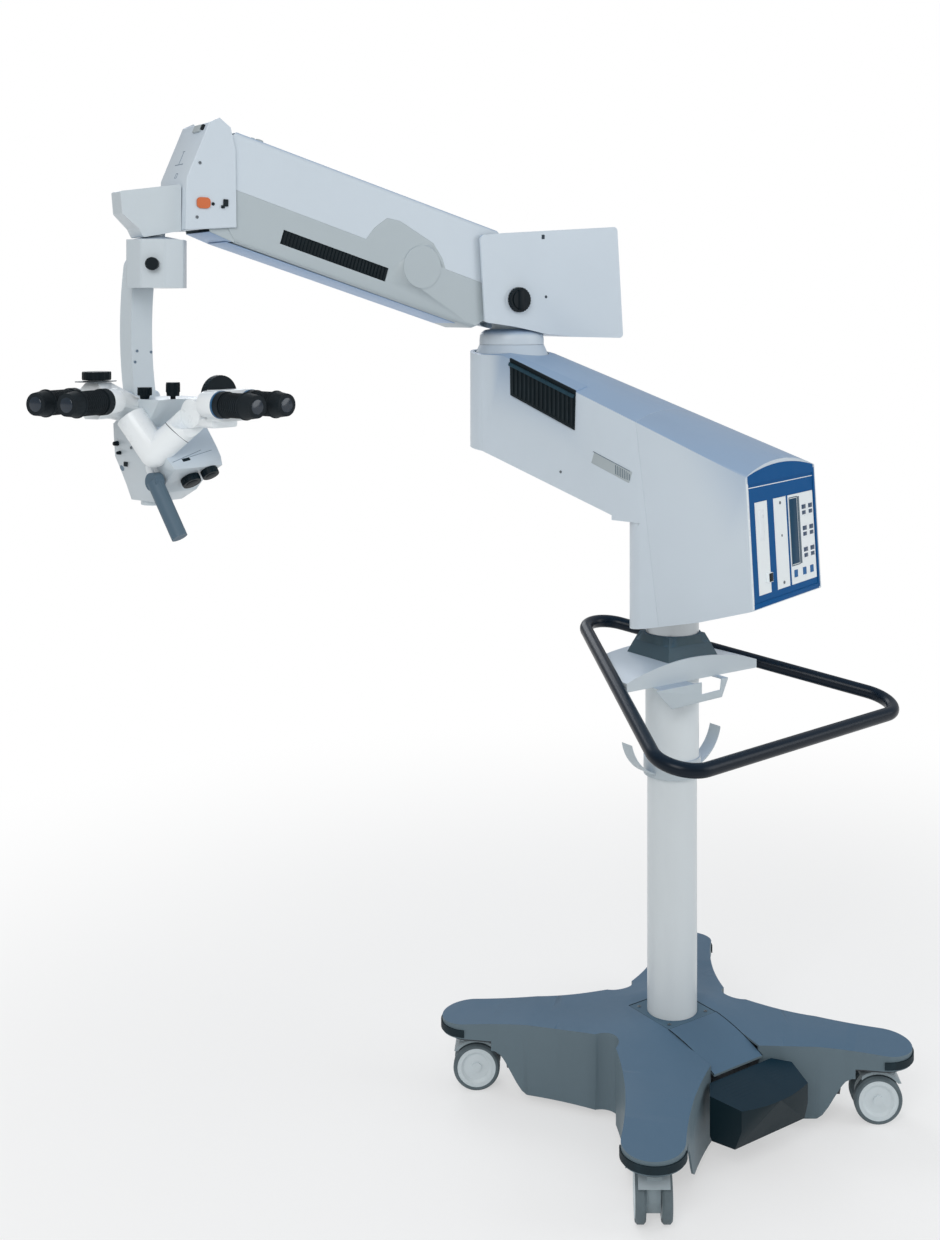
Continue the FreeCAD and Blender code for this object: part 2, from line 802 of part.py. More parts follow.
def crowned_space(height, slope):
    """Space under a roof that is round across the arm and climbs along it."""
    radius = (panel_half_width ** 2 + arm_crown ** 2) / (2 * arm_crown)
    half = panel_half_width + 30
    fall = radius - math.sqrt(radius ** 2 - half ** 2)
    start = -panel_bottom_reach - 40
    length = lower_arm_reach + panel_bottom_reach + 200
    wire = Part.Wire([
        arc(V(start, -half, height - fall), V(start, 0, height), V(start, half, height - fall)),
        line(V(start, half, height - fall), V(start, half, 0)),
        line(V(start, half, 0), V(start, -half, 0)),
        line(V(start, -half, 0), V(start, -half, height - fall)),
    ])
    return Part.Face(wire).extrude(V(length, 0, slope * length))


def arm_volume(inset):
    """Outer form of the lower arm, moved in by an inset."""
    outline = offset_outline(arm_side_outline(), inset) if inset else arm_side_outline()
    side = prism_xz(outline, -panel_half_width - 40, panel_half_width + 40)
    body = side.common(arm_plan(inset, leg_foot_height - 10, arm_top_height + 3 * arm_crown))
    panel_end = panel_top_height + arm_crown
    pivot_end = arm_top_height + arm_end_crown
    slope = (pivot_end - panel_end) / (arm_top_start + panel_top_reach)
    lowered = inset / math.cos(math.atan(slope))
    start_height = panel_end - slope * (panel_bottom_reach + 40 - panel_top_reach) - lowered
    body = body.common(crowned_space(start_height, slope))
    body = body.common(crowned_space(pivot_end - inset, 0))
    # The leg is round at the column side
    centre_x = -arm_knee_reach
    reach = leg_end_reach + arm_knee_reach - inset
    half = arm_plan_half_width(centre_x, inset)
    corner = block(centre_x, leg_end_reach + 10, -panel_half_width - 40, panel_half_width + 40,
                   leg_foot_height - 20, arm_knee_height + 18)
    oval = Part.Ellipse(V(centre_x, half, 0), V(centre_x + reach, 0, 0), V(centre_x, 0, 0))
    oval = Part.Face(Part.Wire([oval.toShape()])).extrude(V(0, 0, arm_knee_height - leg_foot_height + 100))
    return body.cut(corner.cut(moved(oval, V(0, 0, leg_foot_height - 30))))


def seam_side(offset):
    """Everything on the panel side of the housing seam, moved along the arm by an offset."""
    slope = (seam_bottom_reach - seam_top_reach) / (panel_top_height - leg_foot_height)
    top = panel_top_height + 200
    bottom = leg_foot_height - 50
    x_top = -seam_top_reach + slope * (top - panel_top_height) + offset
    x_bottom = -seam_bottom_reach - slope * (leg_foot_height - bottom) + offset
    return prism_xz([(x_bottom, bottom), (x_top, top), (-500, top), (-500, bottom)], -300, 300)


def panel_slab(front, back, y_low, y_high, z_low, z_high):
    """Slab along the sloping panel face; front and back are depths behind the face."""
    outline = [(panel_face_x(z_low) + front, z_low), (panel_face_x(z_high) + front, z_high),
               (panel_face_x(z_high) + back, z_high), (panel_face_x(z_low) + back, z_low)]
    return prism_xz(outline, y_low, y_high)


def housing_shell():
    shell = arm_volume(0).cut(arm_volume(arm_wall))
    half = panel_half_width - panel_rim
    shell = shell.cut(panel_slab(-40, arm_wall + panel_thickness, -half, half,
                                 panel_bottom_height + panel_rim, panel_top_height - panel_rim))
    neck_hole = rod(neck_radius + neck_flare + seat_gap, V(lower_arm_reach, 0, arm_top_height - arm_wall - 5),
                    V(lower_arm_reach, 0, arm_top_height + 2 * arm_crown))
    foot_hole = rod(collar_radius + swing_gap, V(0, 0, leg_foot_height - 30), V(0, 0, leg_foot_height + 60))
    return shell.cut(neck_hole).cut(foot_hole)


def fitted(middle, width, z_low, z_high, gap, front, back):
    """Rectangular piece on the panel, with a gap all round when the gap is positive."""
    half = width / 2 - gap
    return panel_slab(front, back, middle - half, middle + half, z_low + gap, z_high - gap)


def control_panel():
    """Panel plate with pockets for the door, the strip and the keypad."""
    half = panel_half_width - panel_rim - seat_gap
    front = panel_set_back
    back = panel_set_back + panel_thickness
    plate = panel_slab(front, back, -half, half, panel_bottom_height + panel_rim + seat_gap,
                       panel_top_height - panel_rim - seat_gap)
    for middle, width in ((door_middle, door_width), (strip_middle, strip_width), (keypad_middle, keypad_width)):
        plate = plate.cut(fitted(middle, width, panel_plate_bottom, panel_plate_top, 0, -5,
                                 front + panel_pocket))
    for middle in button_middles:
        plate = plate.cut(button_form(middle, 0, -5, back + 5))
    return plate


def button_form(middle, gap, front, back):
    half = button_size / 2
    return fitted(middle, button_size, button_height - half, button_height + half, gap, front, back)


def panel_face_plates():
    """White strip, keypad plate and display, each a separate flat piece."""
    front = panel_set_back - panel_plate_proud
    back = panel_set_back + panel_pocket
    strip = fitted(strip_middle, strip_width, panel_plate_bottom, panel_plate_top, seat_gap, front, back)
    keypad = fitted(keypad_middle, keypad_width, panel_plate_bottom, panel_plate_top, seat_gap, front, back)
    keypad = keypad.cut(fitted(display_middle, display_width, display_bottom, display_top, 0, -5, front + 1.5))
    for middle in button_middles:
        keypad = keypad.cut(button_form(middle, 0, -5, back + 5))
    display = fitted(display_middle, display_width, display_bottom, display_top, seat_gap, front + 0.5,
                     front + 1.5)
    return [strip, keypad, display]


def panel_door():
    """Narrow door with its handle, hinged along the edge away from the display."""
    front = panel_set_back - panel_plate_proud
    skin = fitted(door_middle, door_width, panel_plate_bottom, panel_plate_top, seat_gap, front, panel_set_back)
    # The back is narrower at the hinge, so that the leaf turns out of its pocket
    core = fitted(door_middle - 0.5 * door_hinge_relief, door_width - door_hinge_relief, panel_plate_bottom,
                  panel_plate_top, seat_gap, panel_set_back, panel_set_back + panel_pocket)
    leaf = fused([skin, core])
    edge = door_middle - door_width / 2 + seat_gap
    half = door_handle_width / 2
    handle = panel_slab(front - door_handle_depth, front, edge + 1, edge + 1 + door_handle_width,
                        door_handle_height - half, door_handle_height + half)
    return [leaf, handle]


def panel_button(middle):
    front = panel_set_back - button_proud
    return button_form(middle, seat_gap, front, panel_set_back + panel_pocket - 0.5)


def arm_grip_block():
    """Dark cap that wraps the top edge of the arm on one side."""
    band = arm_volume(-grip_block_thickness).cut(arm_volume(0))
    inner = arm_plan_half_width(arm_top_start, 0) - grip_block_wrap
    zone = prism_xz([(165, 1600), (356, 1650), (353, 1495), (171, 1427)], inner, 2 * panel_half_width)
    return band.common(zone)


def lower_arm_beam():
    """Cast beam from the column bearing up to the pivot bearing."""
    bottom = cone_top() + collar_height + 2
    hub_top = bottom + bearing_stub_height + 12
    hub = rod(bearing_stub_radius + 12, V(0, 0, bottom), V(0, 0, hub_top))
    bearing_low = arm_bottom_height + arm_wall + 20
    seat = arm_top_height - arm_wall
    bearing = rod(pivot_bearing_radius, V(lower_arm_reach, 0, bearing_low), V(lower_arm_reach, 0, seat))
    flange = rod(pivot_flange_radius, V(lower_arm_reach, 0, seat - 10), V(lower_arm_reach, 0, seat))
    beam = prism_xz([(-30, hub_top - 70), (-30, hub_top + 186), (lower_arm_reach, seat - 50),
                     (lower_arm_reach, bearing_low), (55, arm_knee_height + 59), (45, hub_top - 30)], -30, 30)
    # Cross ribs carry the housing's two side walls
    ribs = []
    for x in (-120.0, 180.0):
        half = arm_plan_half_width(x + 6, arm_wall) - seat_gap
        height = 1165.0 if x < 0 else 1400.0
        ribs.append(block(x - 6, x + 6, -half, half, height - 12, height + 12))
    strut = block(-126, -20, -20, 20, 1153, 1177)
    body = fused([hub, bearing, flange, beam, strut] + ribs)
    body = body.cut(rod(bearing_stub_radius + running_fit, V(0, 0, bottom - 10),
                        V(0, 0, cone_top() + bearing_stub_height + collar_height + 2)))
    return body.cut(rod(pivot_spindle_radius + running_fit, V(lower_arm_reach, 0, bearing_low + 20),
                        V(lower_arm_reach, 0, arm_top_height + 10)))


def neck_ring():
    seat = V(lower_arm_reach, 0, arm_top_height - arm_wall)
    top = V(lower_arm_reach, 0, arm_top_height + neck_height)
    ring = cone(neck_radius + neck_flare, neck_radius, seat, top)
    return ring.cut(rod(pivot_bearing_radius, seat - up, top + up))


def lower_arm_pieces():
    shell = housing_shell()
    keep("lower_arm_housing", shell.cut(seam_side(0)))
    keep("panel_end_cover", shell.common(seam_side(-seat_gap)))
    keep("lower_arm_beam", lower_arm_beam())
    keep("control_panel", control_panel())
    keep("panel_face_plates", *panel_face_plates())
    keep("panel_door", *panel_door())
    names = ["lower_arm_housing", "panel_end_cover", "lower_arm_beam", "control_panel",
             "panel_face_plates", "panel_door", "arm_grip_block", "neck_ring"]
    for number, middle in enumerate(button_middles, 1):
        keep("panel_button_%d" % number, panel_button(middle))
        names.append("panel_button_%d" % number)
    keep("arm_grip_block", arm_grip_block())
    keep("neck_ring", neck_ring())
    for name in names:
        nodes[name] = turned(nodes[name], lower_arm_heading)


# Pivot box

def box_outline():
    return [
        (box_front_low, box_front_bottom), (-180, box_front_bottom - 10), (-100, box_front_bottom - 26),
        (-16, box_back_bottom + 4), (box_back_low, box_back_bottom), (box_back, box_back_top),
        (-216, box_front_top + 6), (box_front, box_front_top),
    ]


def pivot_box_shell():
    outer = prism_xz(box_outline(), pivot.y - box_half_width, pivot.y + box_half_width)
    outer = round_along(outer, V(0, 1, 0), box_edge_round)
    inner_half = box_half_width - box_wall
    inner = prism_xz(offset_outline(box_outline(), box_wall), pivot.y - inner_half, pivot.y + inner_half)
    mouth = block(box_front - 40, box_mouth, pivot.y - inner_half, pivot.y + inner_half,
                  box_back_bottom - 20, box_back_top + 20)
    shell = outer.cut(inner).cut(mouth)
    shell = shell.cut(rod(neck_radius, V(pivot.x, pivot.y, box_back_bottom - 20),
                          V(pivot.x, pivot.y, box_front_bottom + 20)))
    face = pivot.y - box_half_width
    return shell.cut(rod(balance_shaft_radius + running_fit, V(balance_knob_x, face - 1, balance_knob_height),
                         V(balance_knob_x, face + box_wall + 1, balance_knob_height)))


def balance_knob():
    """Knob on the side of the box, on a shaft through the wall."""
    face = pivot.y - box_half_width
    centre = V(balance_knob_x, face - seat_gap, balance_knob_height)
    rim = cone(balance_knob_radius, balance_knob_radius - 3, centre, centre + V(0, -balance_knob_depth, 0))
    shaft = rod(balance_shaft_radius, centre, centre + V(0, box_wall + 4, 0))
    return fused([rim, shaft])


def cheek_pair(outline):
    """The same outline as two plates, one on each side of the links."""
    plates = []
    for side in (-1, 1):
        near = pivot.y + side * cheek_inner
        far = pivot.y + side * cheek_outer
        plates.append(prism_xz(outline, min(near, far), max(near, far)))
    return plates


def pivot_box_frame():
    """Turntable, spindle and the two cheeks that hold the rear link pins."""
    table_bottom = arm_top_height + neck_height + seat_gap
    table_top = table_bottom + 6
    centre = V(pivot.x, pivot.y, 0)
    table = rod(neck_radius - 2, centre + up * table_bottom, centre + up * table_top)
    hub = rod(pivot_bearing_radius, centre + up * table_bottom, centre + up * 1665)
    spindle = rod(pivot_spindle_radius, centre + up * (arm_bottom_height + arm_wall + 42),
                  centre + up * (table_bottom + 4))
    outline = [(rear_pin.x - 24, rear_pin.z - link_spacing - 8), (rear_pin.x - 24, rear_pin.z + 20),
               (rear_pin.x + 10, rear_pin.z + 28), (pivot.x + 60, rear_pin.z - 40),
               (pivot.x + 60, 1655), (pivot.x - 50, 1655), (rear_pin.x + 14, rear_pin.z - link_spacing - 22)]
    pieces = [table, hub, spindle] + cheek_pair(outline)
    for pin in (rear_pin, rear_pin + drop):
        reach = V(0, cheek_outer + 3, 0)
        pieces.append(rod(link_pin_radius, pin - reach, pin + reach))
    wall = V(0, box_half_width - box_wall, 0)
    for x, z in ((pivot.x + 40, 1690.0), (pivot.x - 20, 1690.0)):
        boss = V(x, pivot.y, z)
        pieces.append(rod(cover_boss_radius, boss - wall, boss + wall))
    return fused(pieces)


# Parallelogram links and covers

def along_arm(s, h):
    """Point beside the upper link: s from the rear pin towards the front, h above the link line."""
    return (rear_pin.x - s * math.cos(rise) + h * math.sin(rise),
            rear_pin.z + s * math.sin(rise) + h * math.cos(rise))


def link(start, end, eye_radius, half_height, half_width):
    """Straight bar with an eye at each end, bored for its pins."""
    along = end - start
    length = along.Length
    angle = math.degrees(math.atan2(along.z, along.x))
    pieces = [block(0, length, -half_width, half_width, -half_height, half_height)]
    for x in (0, length):
        pieces.append(rod(eye_radius, V(x, -half_width, 0), V(x, half_width, 0)))
    body = fused(pieces)
    for x in (0, length):
        body = body.cut(rod(link_pin_radius + running_fit, V(x, -half_width - 5, 0), V(x, half_width + 5, 0)))
    body.rotate(origin, V(0, -1, 0), angle)
    body.translate(start)
    return body


def upper_link():
    """Main link with three cross bosses that carry the two covers."""
    bar = link(rear_pin, front_pin, 27, upper_link_half_height, link_half_width)
    bosses = []
    wall = V(0, arm_cover_half_width - cover_wall, 0)
    for s in (220.0, 420.0, 560.0):
        x, z = along_arm(s, 0)
        bosses.append(rod(cover_boss_radius, V(x, pivot.y, z) - wall, V(x, pivot.y, z) + wall))
    return fused([bar] + bosses)


def spring_arm_covers():
    """Upper and lower half of the arm's cover, open at both ends for the pivots."""
    front = link_length
    outline = [along_arm(13, arm_cover_top_rear), along_arm(front - 29, arm_cover_top_front),
               along_arm(front - 3, 58), along_arm(front - 15, -30), along_arm(front - 45, -85),
               along_arm(front - 89, -arm_cover_bottom + 2), along_arm(11, -arm_cover_bottom),
               along_arm(-45, -60), along_arm(-60, 0), along_arm(-45, 55)]
    outer = prism_xz(outline, pivot.y - arm_cover_half_width, pivot.y + arm_cover_half_width)
    inner_half = arm_cover_half_width - cover_wall
    inner = prism_xz([along_arm(-150, arm_cover_top_rear - cover_wall),
                      along_arm(front + 80, arm_cover_top_front - cover_wall),
                      along_arm(front + 80, -arm_cover_bottom + 2 + cover_wall),
                      along_arm(-150, -arm_cover_bottom + cover_wall)],
                     pivot.y - inner_half, pivot.y + inner_half)
    shell = outer.cut(inner)
    zone = [along_arm(-120, -arm_cover_seam), along_arm(117, -arm_cover_seam), along_arm(132, -3),
            along_arm(163, 21), along_arm(255, 40), along_arm(287, 36), along_arm(310, 6),
            along_arm(322, -arm_cover_seam), along_arm(front + 80, -arm_cover_seam),
            along_arm(front + 80, -260), along_arm(-120, -260)]
    half = 2 * arm_cover_half_width
    upper = shell.cut(prism_xz(zone, pivot.y - half, pivot.y + half))
    lower = shell.common(prism_xz(offset_outline(zone, seat_gap), pivot.y - half, pivot.y + half))
    slot = [along_arm(252, -65), along_arm(506, -65), along_arm(506, -95), along_arm(252, -95)]
    lower = lower.cut(prism_xz(slot, pivot.y - half, pivot.y - inner_half + 1))
    x, z = along_arm(175, -37)
    face = pivot.y - arm_cover_half_width
    disc = rod(46, V(x, face - 2, z), V(x, face + cover_wall, z))
    disc = disc.common(prism_xz(offset_outline(zone, seat_gap), pivot.y - half, pivot.y + half))
    return upper, fused([lower, disc])


# Front housing and suspension

def front_point(x, z):
    return (front_pin.x + x, front_pin.z + z)


def front_outline():
    return [
        front_point(front_back + 2, -front_bottom + 8), front_point(front_back, 40), front_point(35, 83),
        front_point(12, 101), front_point(-front_nose_top, front_top),
        front_point(-front_nose_low, -front_slant_height), front_point(-front_nose_low - 2, -front_bottom),
    ]


def release_button_form(gap, y_low, y_high):
    half_wide = release_button_width / 2 - gap
    half_tall = release_button_tall / 2 - gap
    x, z = front_point(release_button_x, release_button_height)
    form = block(x - half_wide, x + half_wide, y_low, y_high, z - half_tall, z + half_tall)
    return round_along(form, V(0, 1, 0), 8 - gap)


def front_housing():
    """Casing round the front link pins, open at the back, on top and below."""
    outer = prism_xz(front_outline(), pivot.y - front_half_width, pivot.y + front_half_width)
    inner_half = front_half_width - cover_wall
    inner = prism_xz(offset_outline(front_outline(), cover_wall), pivot.y - inner_half, pivot.y + inner_half)
    shell = outer.cut(inner)
    far = front_back + 20
    openings = ((front_back - 10, far, -300, 300), (-8, far, 40, 200), (-20, far, -200, -90))
    for x_low, x_high, z_low, z_high in openings:
        shell = shell.cut(block(front_pin.x + x_low, front_pin.x + x_high, pivot.y - inner_half,
                                pivot.y + inner_half, front_pin.z + z_low, front_pin.z + z_high))
    face = pivot.y - front_half_width
    shell = shell.cut(release_button_form(0, face - 1, face + cover_wall + 1))
    return shell.cut(bracket_neck(20 + seat_gap))


def release_button():
    face = pivot.y - front_half_width
    return release_button_form(seat_gap, face - release_button_proud, face + cover_wall)


def bracket_neck(radius):
    return rod(radius, V(front_pin.x - front_nose_low - 20, pivot.y, front_pin.z - 76),
               V(front_pin.x - 42, pivot.y, front_pin.z - 76))


def suspension_bracket():
    """Wedge in front of the housing, with cheeks inside it for the upper front link pin."""
    outline = [front_point(18, 16), front_point(-10, 22), front_point(-50, -30), front_point(-50, -110),
               front_point(18, -link_spacing - 16)]
    pieces = cheek_pair(outline)
    pieces.append(block(front_pin.x - 50, front_pin.x - 40, pivot.y - cheek_outer, pivot.y + cheek_outer,
                        front_pin.z - 110, front_pin.z - 30))
    reach = V(0, cheek_outer + 3, 0)
    pieces.append(rod(link_pin_radius, front_pin - reach, front_pin + reach))
    wall = V(0, front_half_width - cover_wall, 0)
    boss = V(front_pin.x - 42, pivot.y, front_pin.z - 98)
    pieces.append(rod(cover_boss_radius, boss - wall, boss + wall))
    back = -front_nose_low - 3
    wedge = prism_xz([front_point(back, -32), front_point(back, -123), front_point(-129, -137),
                      front_point(-138, -120), front_point(-168, -92), front_point(-172, -49)],
                     pivot.y - wedge_half_width, pivot.y + wedge_half_width)
    wedge = round_along(wedge, V(0, 1, 0), 4)
    tip_x = front_pin.x - 175
    start_x = front_pin.x + back + 1
    taper = prism_xy([(start_x, pivot.y - wedge_half_width), (tip_x, pivot.y - wedge_front_half_width),
                      (tip_x, pivot.y + wedge_front_half_width), (start_x, pivot.y + wedge_half_width)],
                     front_pin.z - 200, front_pin.z)
    body = fused(pieces + [wedge.common(taper), bracket_neck(20)])
    return body.cut(rod(knuckle_stem_radius + running_fit, suspension + up * knuckle_top,
                        suspension + up * (knuckle_stem_top + 3)))


# Knuckle and carrier, drawn about the suspension axis at the origin

def octagon(flat, z_low, z_high):
    corner = flat / math.cos(math.radians(22.5))
    points = []
    for k in range(8):
        angle = math.radians(22.5 + 45 * k)
        points.append((corner * math.cos(angle), corner * math.sin(angle)))
    return prism_xy(points, z_low, z_high)


def tilt_knob_axis():
    return turned_point(V(1, 0, 0), 225)


def swivel_knuckle():
    """Eight-sided block that turns on its stem and carries the carrier's pivot."""
    body = round_along(octagon(knuckle_flat, knuckle_bottom, knuckle_top), up, 10)
    dome = cone(knuckle_flat - 4, 24, up * knuckle_top, up * (knuckle_top + 6))
    stem = rod(knuckle_stem_radius, up * knuckle_top, up * knuckle_stem_top)
    body = fused([body, dome, stem])
    body = body.cut(block(-2 * knuckle_flat, 2 * knuckle_flat, knuckle_back, 2 * knuckle_flat,
                          knuckle_bottom - 1, carrier_pivot_height + carrier_half_width + 3))
    body = body.cut(rod(carrier_pin_radius + running_fit, V(0, 5, carrier_pivot_height),
                        V(0, knuckle_back + 5, carrier_pivot_height)))
    start = up * tilt_knob_height
    axis = tilt_knob_axis()
    return body.cut(rod(small_shaft_radius + running_fit, start + axis * (knuckle_flat - 22),
                        start + axis * (knuckle_flat + 5)))


def tilt_knob():
    start = up * tilt_knob_height
    axis = tilt_knob_axis()
    rim = rod(tilt_knob_radius, start + axis * (knuckle_flat + seat_gap), start + axis * (knuckle_flat + 14))
    shaft = rod(small_shaft_radius, start + axis * (knuckle_flat - 20), start + axis * (knuckle_flat + 2))
    return fused([rim, shaft])


def carrier_arm():
    """Curved bar from the knuckle down to the head's tilt axis."""
    def side(depth):
        return arc(V(0, tilt_axis_offset + depth, tilt_axis_height), V(0, carrier_mid_offset + depth, carrier_mid_height),
                   V(0, carrier_top_offset + depth, carrier_pivot_height))

    low = line(V(0, tilt_axis_offset - carrier_half_depth, tilt_axis_height),
               V(0, tilt_axis_offset + carrier_half_depth, tilt_axis_height))
    top = line(V(0, carrier_top_offset + carrier_half_depth, carrier_pivot_height),
               V(0, carrier_top_offset - carrier_half_depth, carrier_pivot_height))
    wire = Part.Wire([low, side(carrier_half_depth), top, side(-carrier_half_depth)])
    bar = moved(Part.Face(wire).extrude(V(2 * carrier_half_width, 0, 0)), V(-carrier_half_width, 0, 0))
    near = carrier_top_offset - carrier_half_depth
    lug = rod(carrier_half_width, V(0, near, carrier_pivot_height),
              V(0, near + 2 * carrier_half_depth, carrier_pivot_height))
    pin = rod(carrier_pin_radius, V(0, 8, carrier_pivot_height), V(0, near + 5, carrier_pivot_height))
    eye = rod(carrier_eye_radius, V(-carrier_half_width, tilt_axis_offset, tilt_axis_height),
              V(carrier_half_width, tilt_axis_offset, tilt_axis_height))
    body = fused([bar, lug, pin, eye])
    face = knuckle_back + seat_gap
    body = body.cut(block(-100, 100, carrier_pin_radius, face, knuckle_bottom - 200, knuckle_top + 50).cut(
        rod(carrier_pin_radius, V(0, 0, carrier_pivot_height), V(0, 100, carrier_pivot_height))))
    return body.cut(rod(carrier_pin_radius + running_fit, V(-50, tilt_axis_offset, tilt_axis_height),
                        V(50, tilt_axis_offset, tilt_axis_height)))


# Microscope head, front towards -Y

def chin_point(x, y):
    """Point on the sloping face under the chin, where the two knobs sit."""
    share = (y + 130.0) / (130.0 - 84.0)
    return V(x, y, 1383.0 + share * (1350.0 - 1383.0))


def chin_normal():
    return V(0, -(1383.0 - 1350.0), -(130.0 - 84.0)).normalize()


def body_form():
    """Head casing: a side profile met by a front profile that narrows to the objective."""
    side = prism_yz([(25, body_top), (-88, body_top), (-62, 1460), (-105, 1414), (-130, 1383), (-84, 1350),
                     (-72, 1333), (-34, body_bottom), (34, body_bottom), (40, 1343), (46, 1379), (48, 1400),
                     (46, 1462), (25, 1476)], -150, 150)
    front = prism_xz([(-62, body_top), (62, body_top), (68, 1470), (66, 1440), (62, 1398), (54, 1379),
                      (42, 1343), (34, body_bottom), (-34, body_bottom), (-42, 1343), (-54, 1379),
                      (-62, 1398), (-66, 1440), (-68, 1470)], -250, 150)
    return side.common(front)


head_knobs = {
    "focus_knob": (chin_point(1, -100), focus_knob_radius),
    "zoom_knob": (chin_point(31, -119), zoom_knob_radius),
}


def microscope_body():
    """Casing with two rear ears and the pin that hangs it on the carrier."""
    ears = []
    inner = carrier_half_width + seat_gap
    for side in (-1, 1):
        low = min(side * inner, side * (inner + ear_thickness))
        high = low + ear_thickness
        ears.append(rod(carrier_eye_radius - 2, V(low, tilt_axis_offset, tilt_axis_height),
                        V(high, tilt_axis_offset, tilt_axis_height)))
        ears.append(block(low, high, 15, tilt_axis_offset, tilt_axis_height - 16, body_top - 2))
    reach = inner + ear_thickness
    pin = rod(carrier_pin_radius, V(-reach, tilt_axis_offset, tilt_axis_height),
              V(reach, tilt_axis_offset, tilt_axis_height))
    body = fused([body_form(), pin] + ears)
    normal = chin_normal()
    for base, radius in head_knobs.values():
        body = body.cut(rod(small_shaft_radius + running_fit, base + normal * 5,
                            base - normal * (head_knob_shaft + 3)))
    body = body.cut(rod(small_shaft_radius + running_fit, grip_pivot + V(30, 0, 0), grip_pivot + V(-30, 0, 0)))
    for place in (tube_lock_place, observer_lock_place):
        body = body.cut(rod(small_shaft_radius + running_fit, place + up * (body_top - head_knob_shaft - 3),
                            place + up * (body_top + 5)))
    return body


def head_knob(name):
    base, radius = head_knobs[name]
    normal = chin_normal()
    rim = rod(radius, base + normal * seat_gap, base + normal * head_knob_height)
    shaft = rod(small_shaft_radius, base - normal * head_knob_shaft, base + normal * 2)
    return fused([rim, shaft])


def objective_ring():
    return tube(objective_radius, objective_inner, up * objective_bottom, up * body_bottom)


def top_knob(place, low_radius, high_radius, start, height):
    """Knob on the top face of the head, on a short shaft."""
    rim = cone(low_radius, high_radius, place + up * (body_top + start), place + up * (body_top + start + height))
    shaft = rod(small_shaft_radius, place + up * (body_top - head_knob_shaft), place + up * (body_top + start + 2))
    return fused([rim, shaft])


def binocular_axis_rod(radius, x_low, x_high):
    return rod(radius, V(x_low, binocular_y, binocular_height), V(x_high, binocular_y, binocular_height))


def main_tube():
    """Bent tube from the side of the head up to the binocular's tilt axis."""
    start = V(-86, -35, 1480)
    elbow = V(-68, -84, 1413)
    end = V(-14, binocular_y, binocular_height)
    pieces = [rod(main_tube_radius, start, elbow), Part.makeSphere(main_tube_radius, elbow),
              rod(main_tube_radius, elbow, end)]
    form = fused(pieces).cut(body_form()).cut(observer_flare(seat_gap))
    # The end is cut off square, so that the binocular can tip down past it
    form = form.cut(block(-100, 100, binocular_back, binocular_y, body_bottom, body_top))
    return form.cut(binocular_axis_rod(binocular_radius + seat_gap, -80, 80))


def interpupillary_rod(radius, y_back, y_front):
    return rod(radius, V(0, y_back, interpupillary_height), V(0, y_front, interpupillary_height))


def main_binocular():
    """Housing on its tilt axis, with a bridge under the adjusting disc and two eyepiece barrels."""
    half = binocular_half_width
    floor = binocular_height - binocular_radius + 2
    gap_floor = interpupillary_height - interpupillary_radius - 2
    pieces = [binocular_axis_rod(binocular_radius, -half, half),
              round_along(block(-half + 4, half - 4, binocular_back - 10, binocular_y, floor, gap_floor),
                          V(0, 1, 0), 6),
              block(-half, half, eyepiece_start + 4, binocular_back, floor + 14, interpupillary_height + 12)]
    for side in (-1, 1):
        foot = V(side * eyepiece_half_spacing, binocular_back, eyepiece_height)
        pieces.append(rod(eyepiece_radius, foot, V(foot.x, eyepiece_start, eyepiece_height)))
    body = fused(pieces)
    return body.cut(interpupillary_rod(small_shaft_radius + running_fit, binocular_back + 5, binocular_back - 18))


def interpupillary_knob():
    """Disc behind the eyepiece barrels, on a shaft into the housing."""
    front = binocular_back + seat_gap
    rim = interpupillary_rod(interpupillary_radius, front + interpupillary_depth, front)
    return fused([rim, interpupillary_rod(small_shaft_radius, front + 2, binocular_back - 16)])


def eyepiece_pair(origin_point, heading, start, end):
    """Two stepped eyepieces side by side along a heading."""
    axis = turned_point(V(1, 0, 0), heading)
    across = turned_point(V(0, 1, 0), heading)
    pair = []
    for side in (-1, 1):
        foot = origin_point + across * (side * eyepiece_half_spacing)
        ring_end = start + 15
        cup = end - 30
        pieces = [rod(eyepiece_radius, foot + axis * start, foot + axis * ring_end),
                  rod(eyepiece_radius - 3, foot + axis * ring_end, foot + axis * cup),
                  cone(eyepiece_radius, eyepiece_radius - 4, foot + axis * cup, foot + axis * end)]
        pair.append(fused(pieces))
    return pair


def main_eyepieces():
    foot = V(0, 0, eyepiece_height)
    return eyepiece_pair(foot, 270, -eyepiece_start, -eyepiece_end)


def observer_origin():
    return V(-observer_reach, 0, observer_height)


def observer_flare(gap):
    return cone(25 + gap, observer_radius + gap, V(-50, -4, 1488), observer_origin())


def observer_tube():
    """Flared tube from the side of the head to the observer's binocular housing."""
    flare = observer_flare(0)
    axis = turned_point(V(1, 0, 0), observer_heading)
    across = turned_point(V(0, 1, 0), observer_heading)
    foot = observer_origin()
    housing = octagon(observer_radius, 0, observer_eyepiece_start - 5)
    housing.rotate(origin, V(0, 1, 0), 90)
    housing.rotate(origin, up, observer_heading)
    housing.translate(foot)
    pieces = [flare, housing]
    for side in (-1, 1):
        sleeve = foot + across * (side * eyepiece_half_spacing)
        pieces.append(rod(eyepiece_radius - 1, sleeve + axis * 14, sleeve + axis * observer_eyepiece_start))
    pieces.append(rod(10, foot + axis * 25, foot + axis * 25 + up * (observer_radius + 5)))
    form = fused(pieces).cut(body_form())
    knob_foot = foot + axis * 25
    return form.cut(rod(small_shaft_radius + running_fit, knob_foot + up * (observer_radius - 12),
                        knob_foot + up * (observer_radius + 10)))


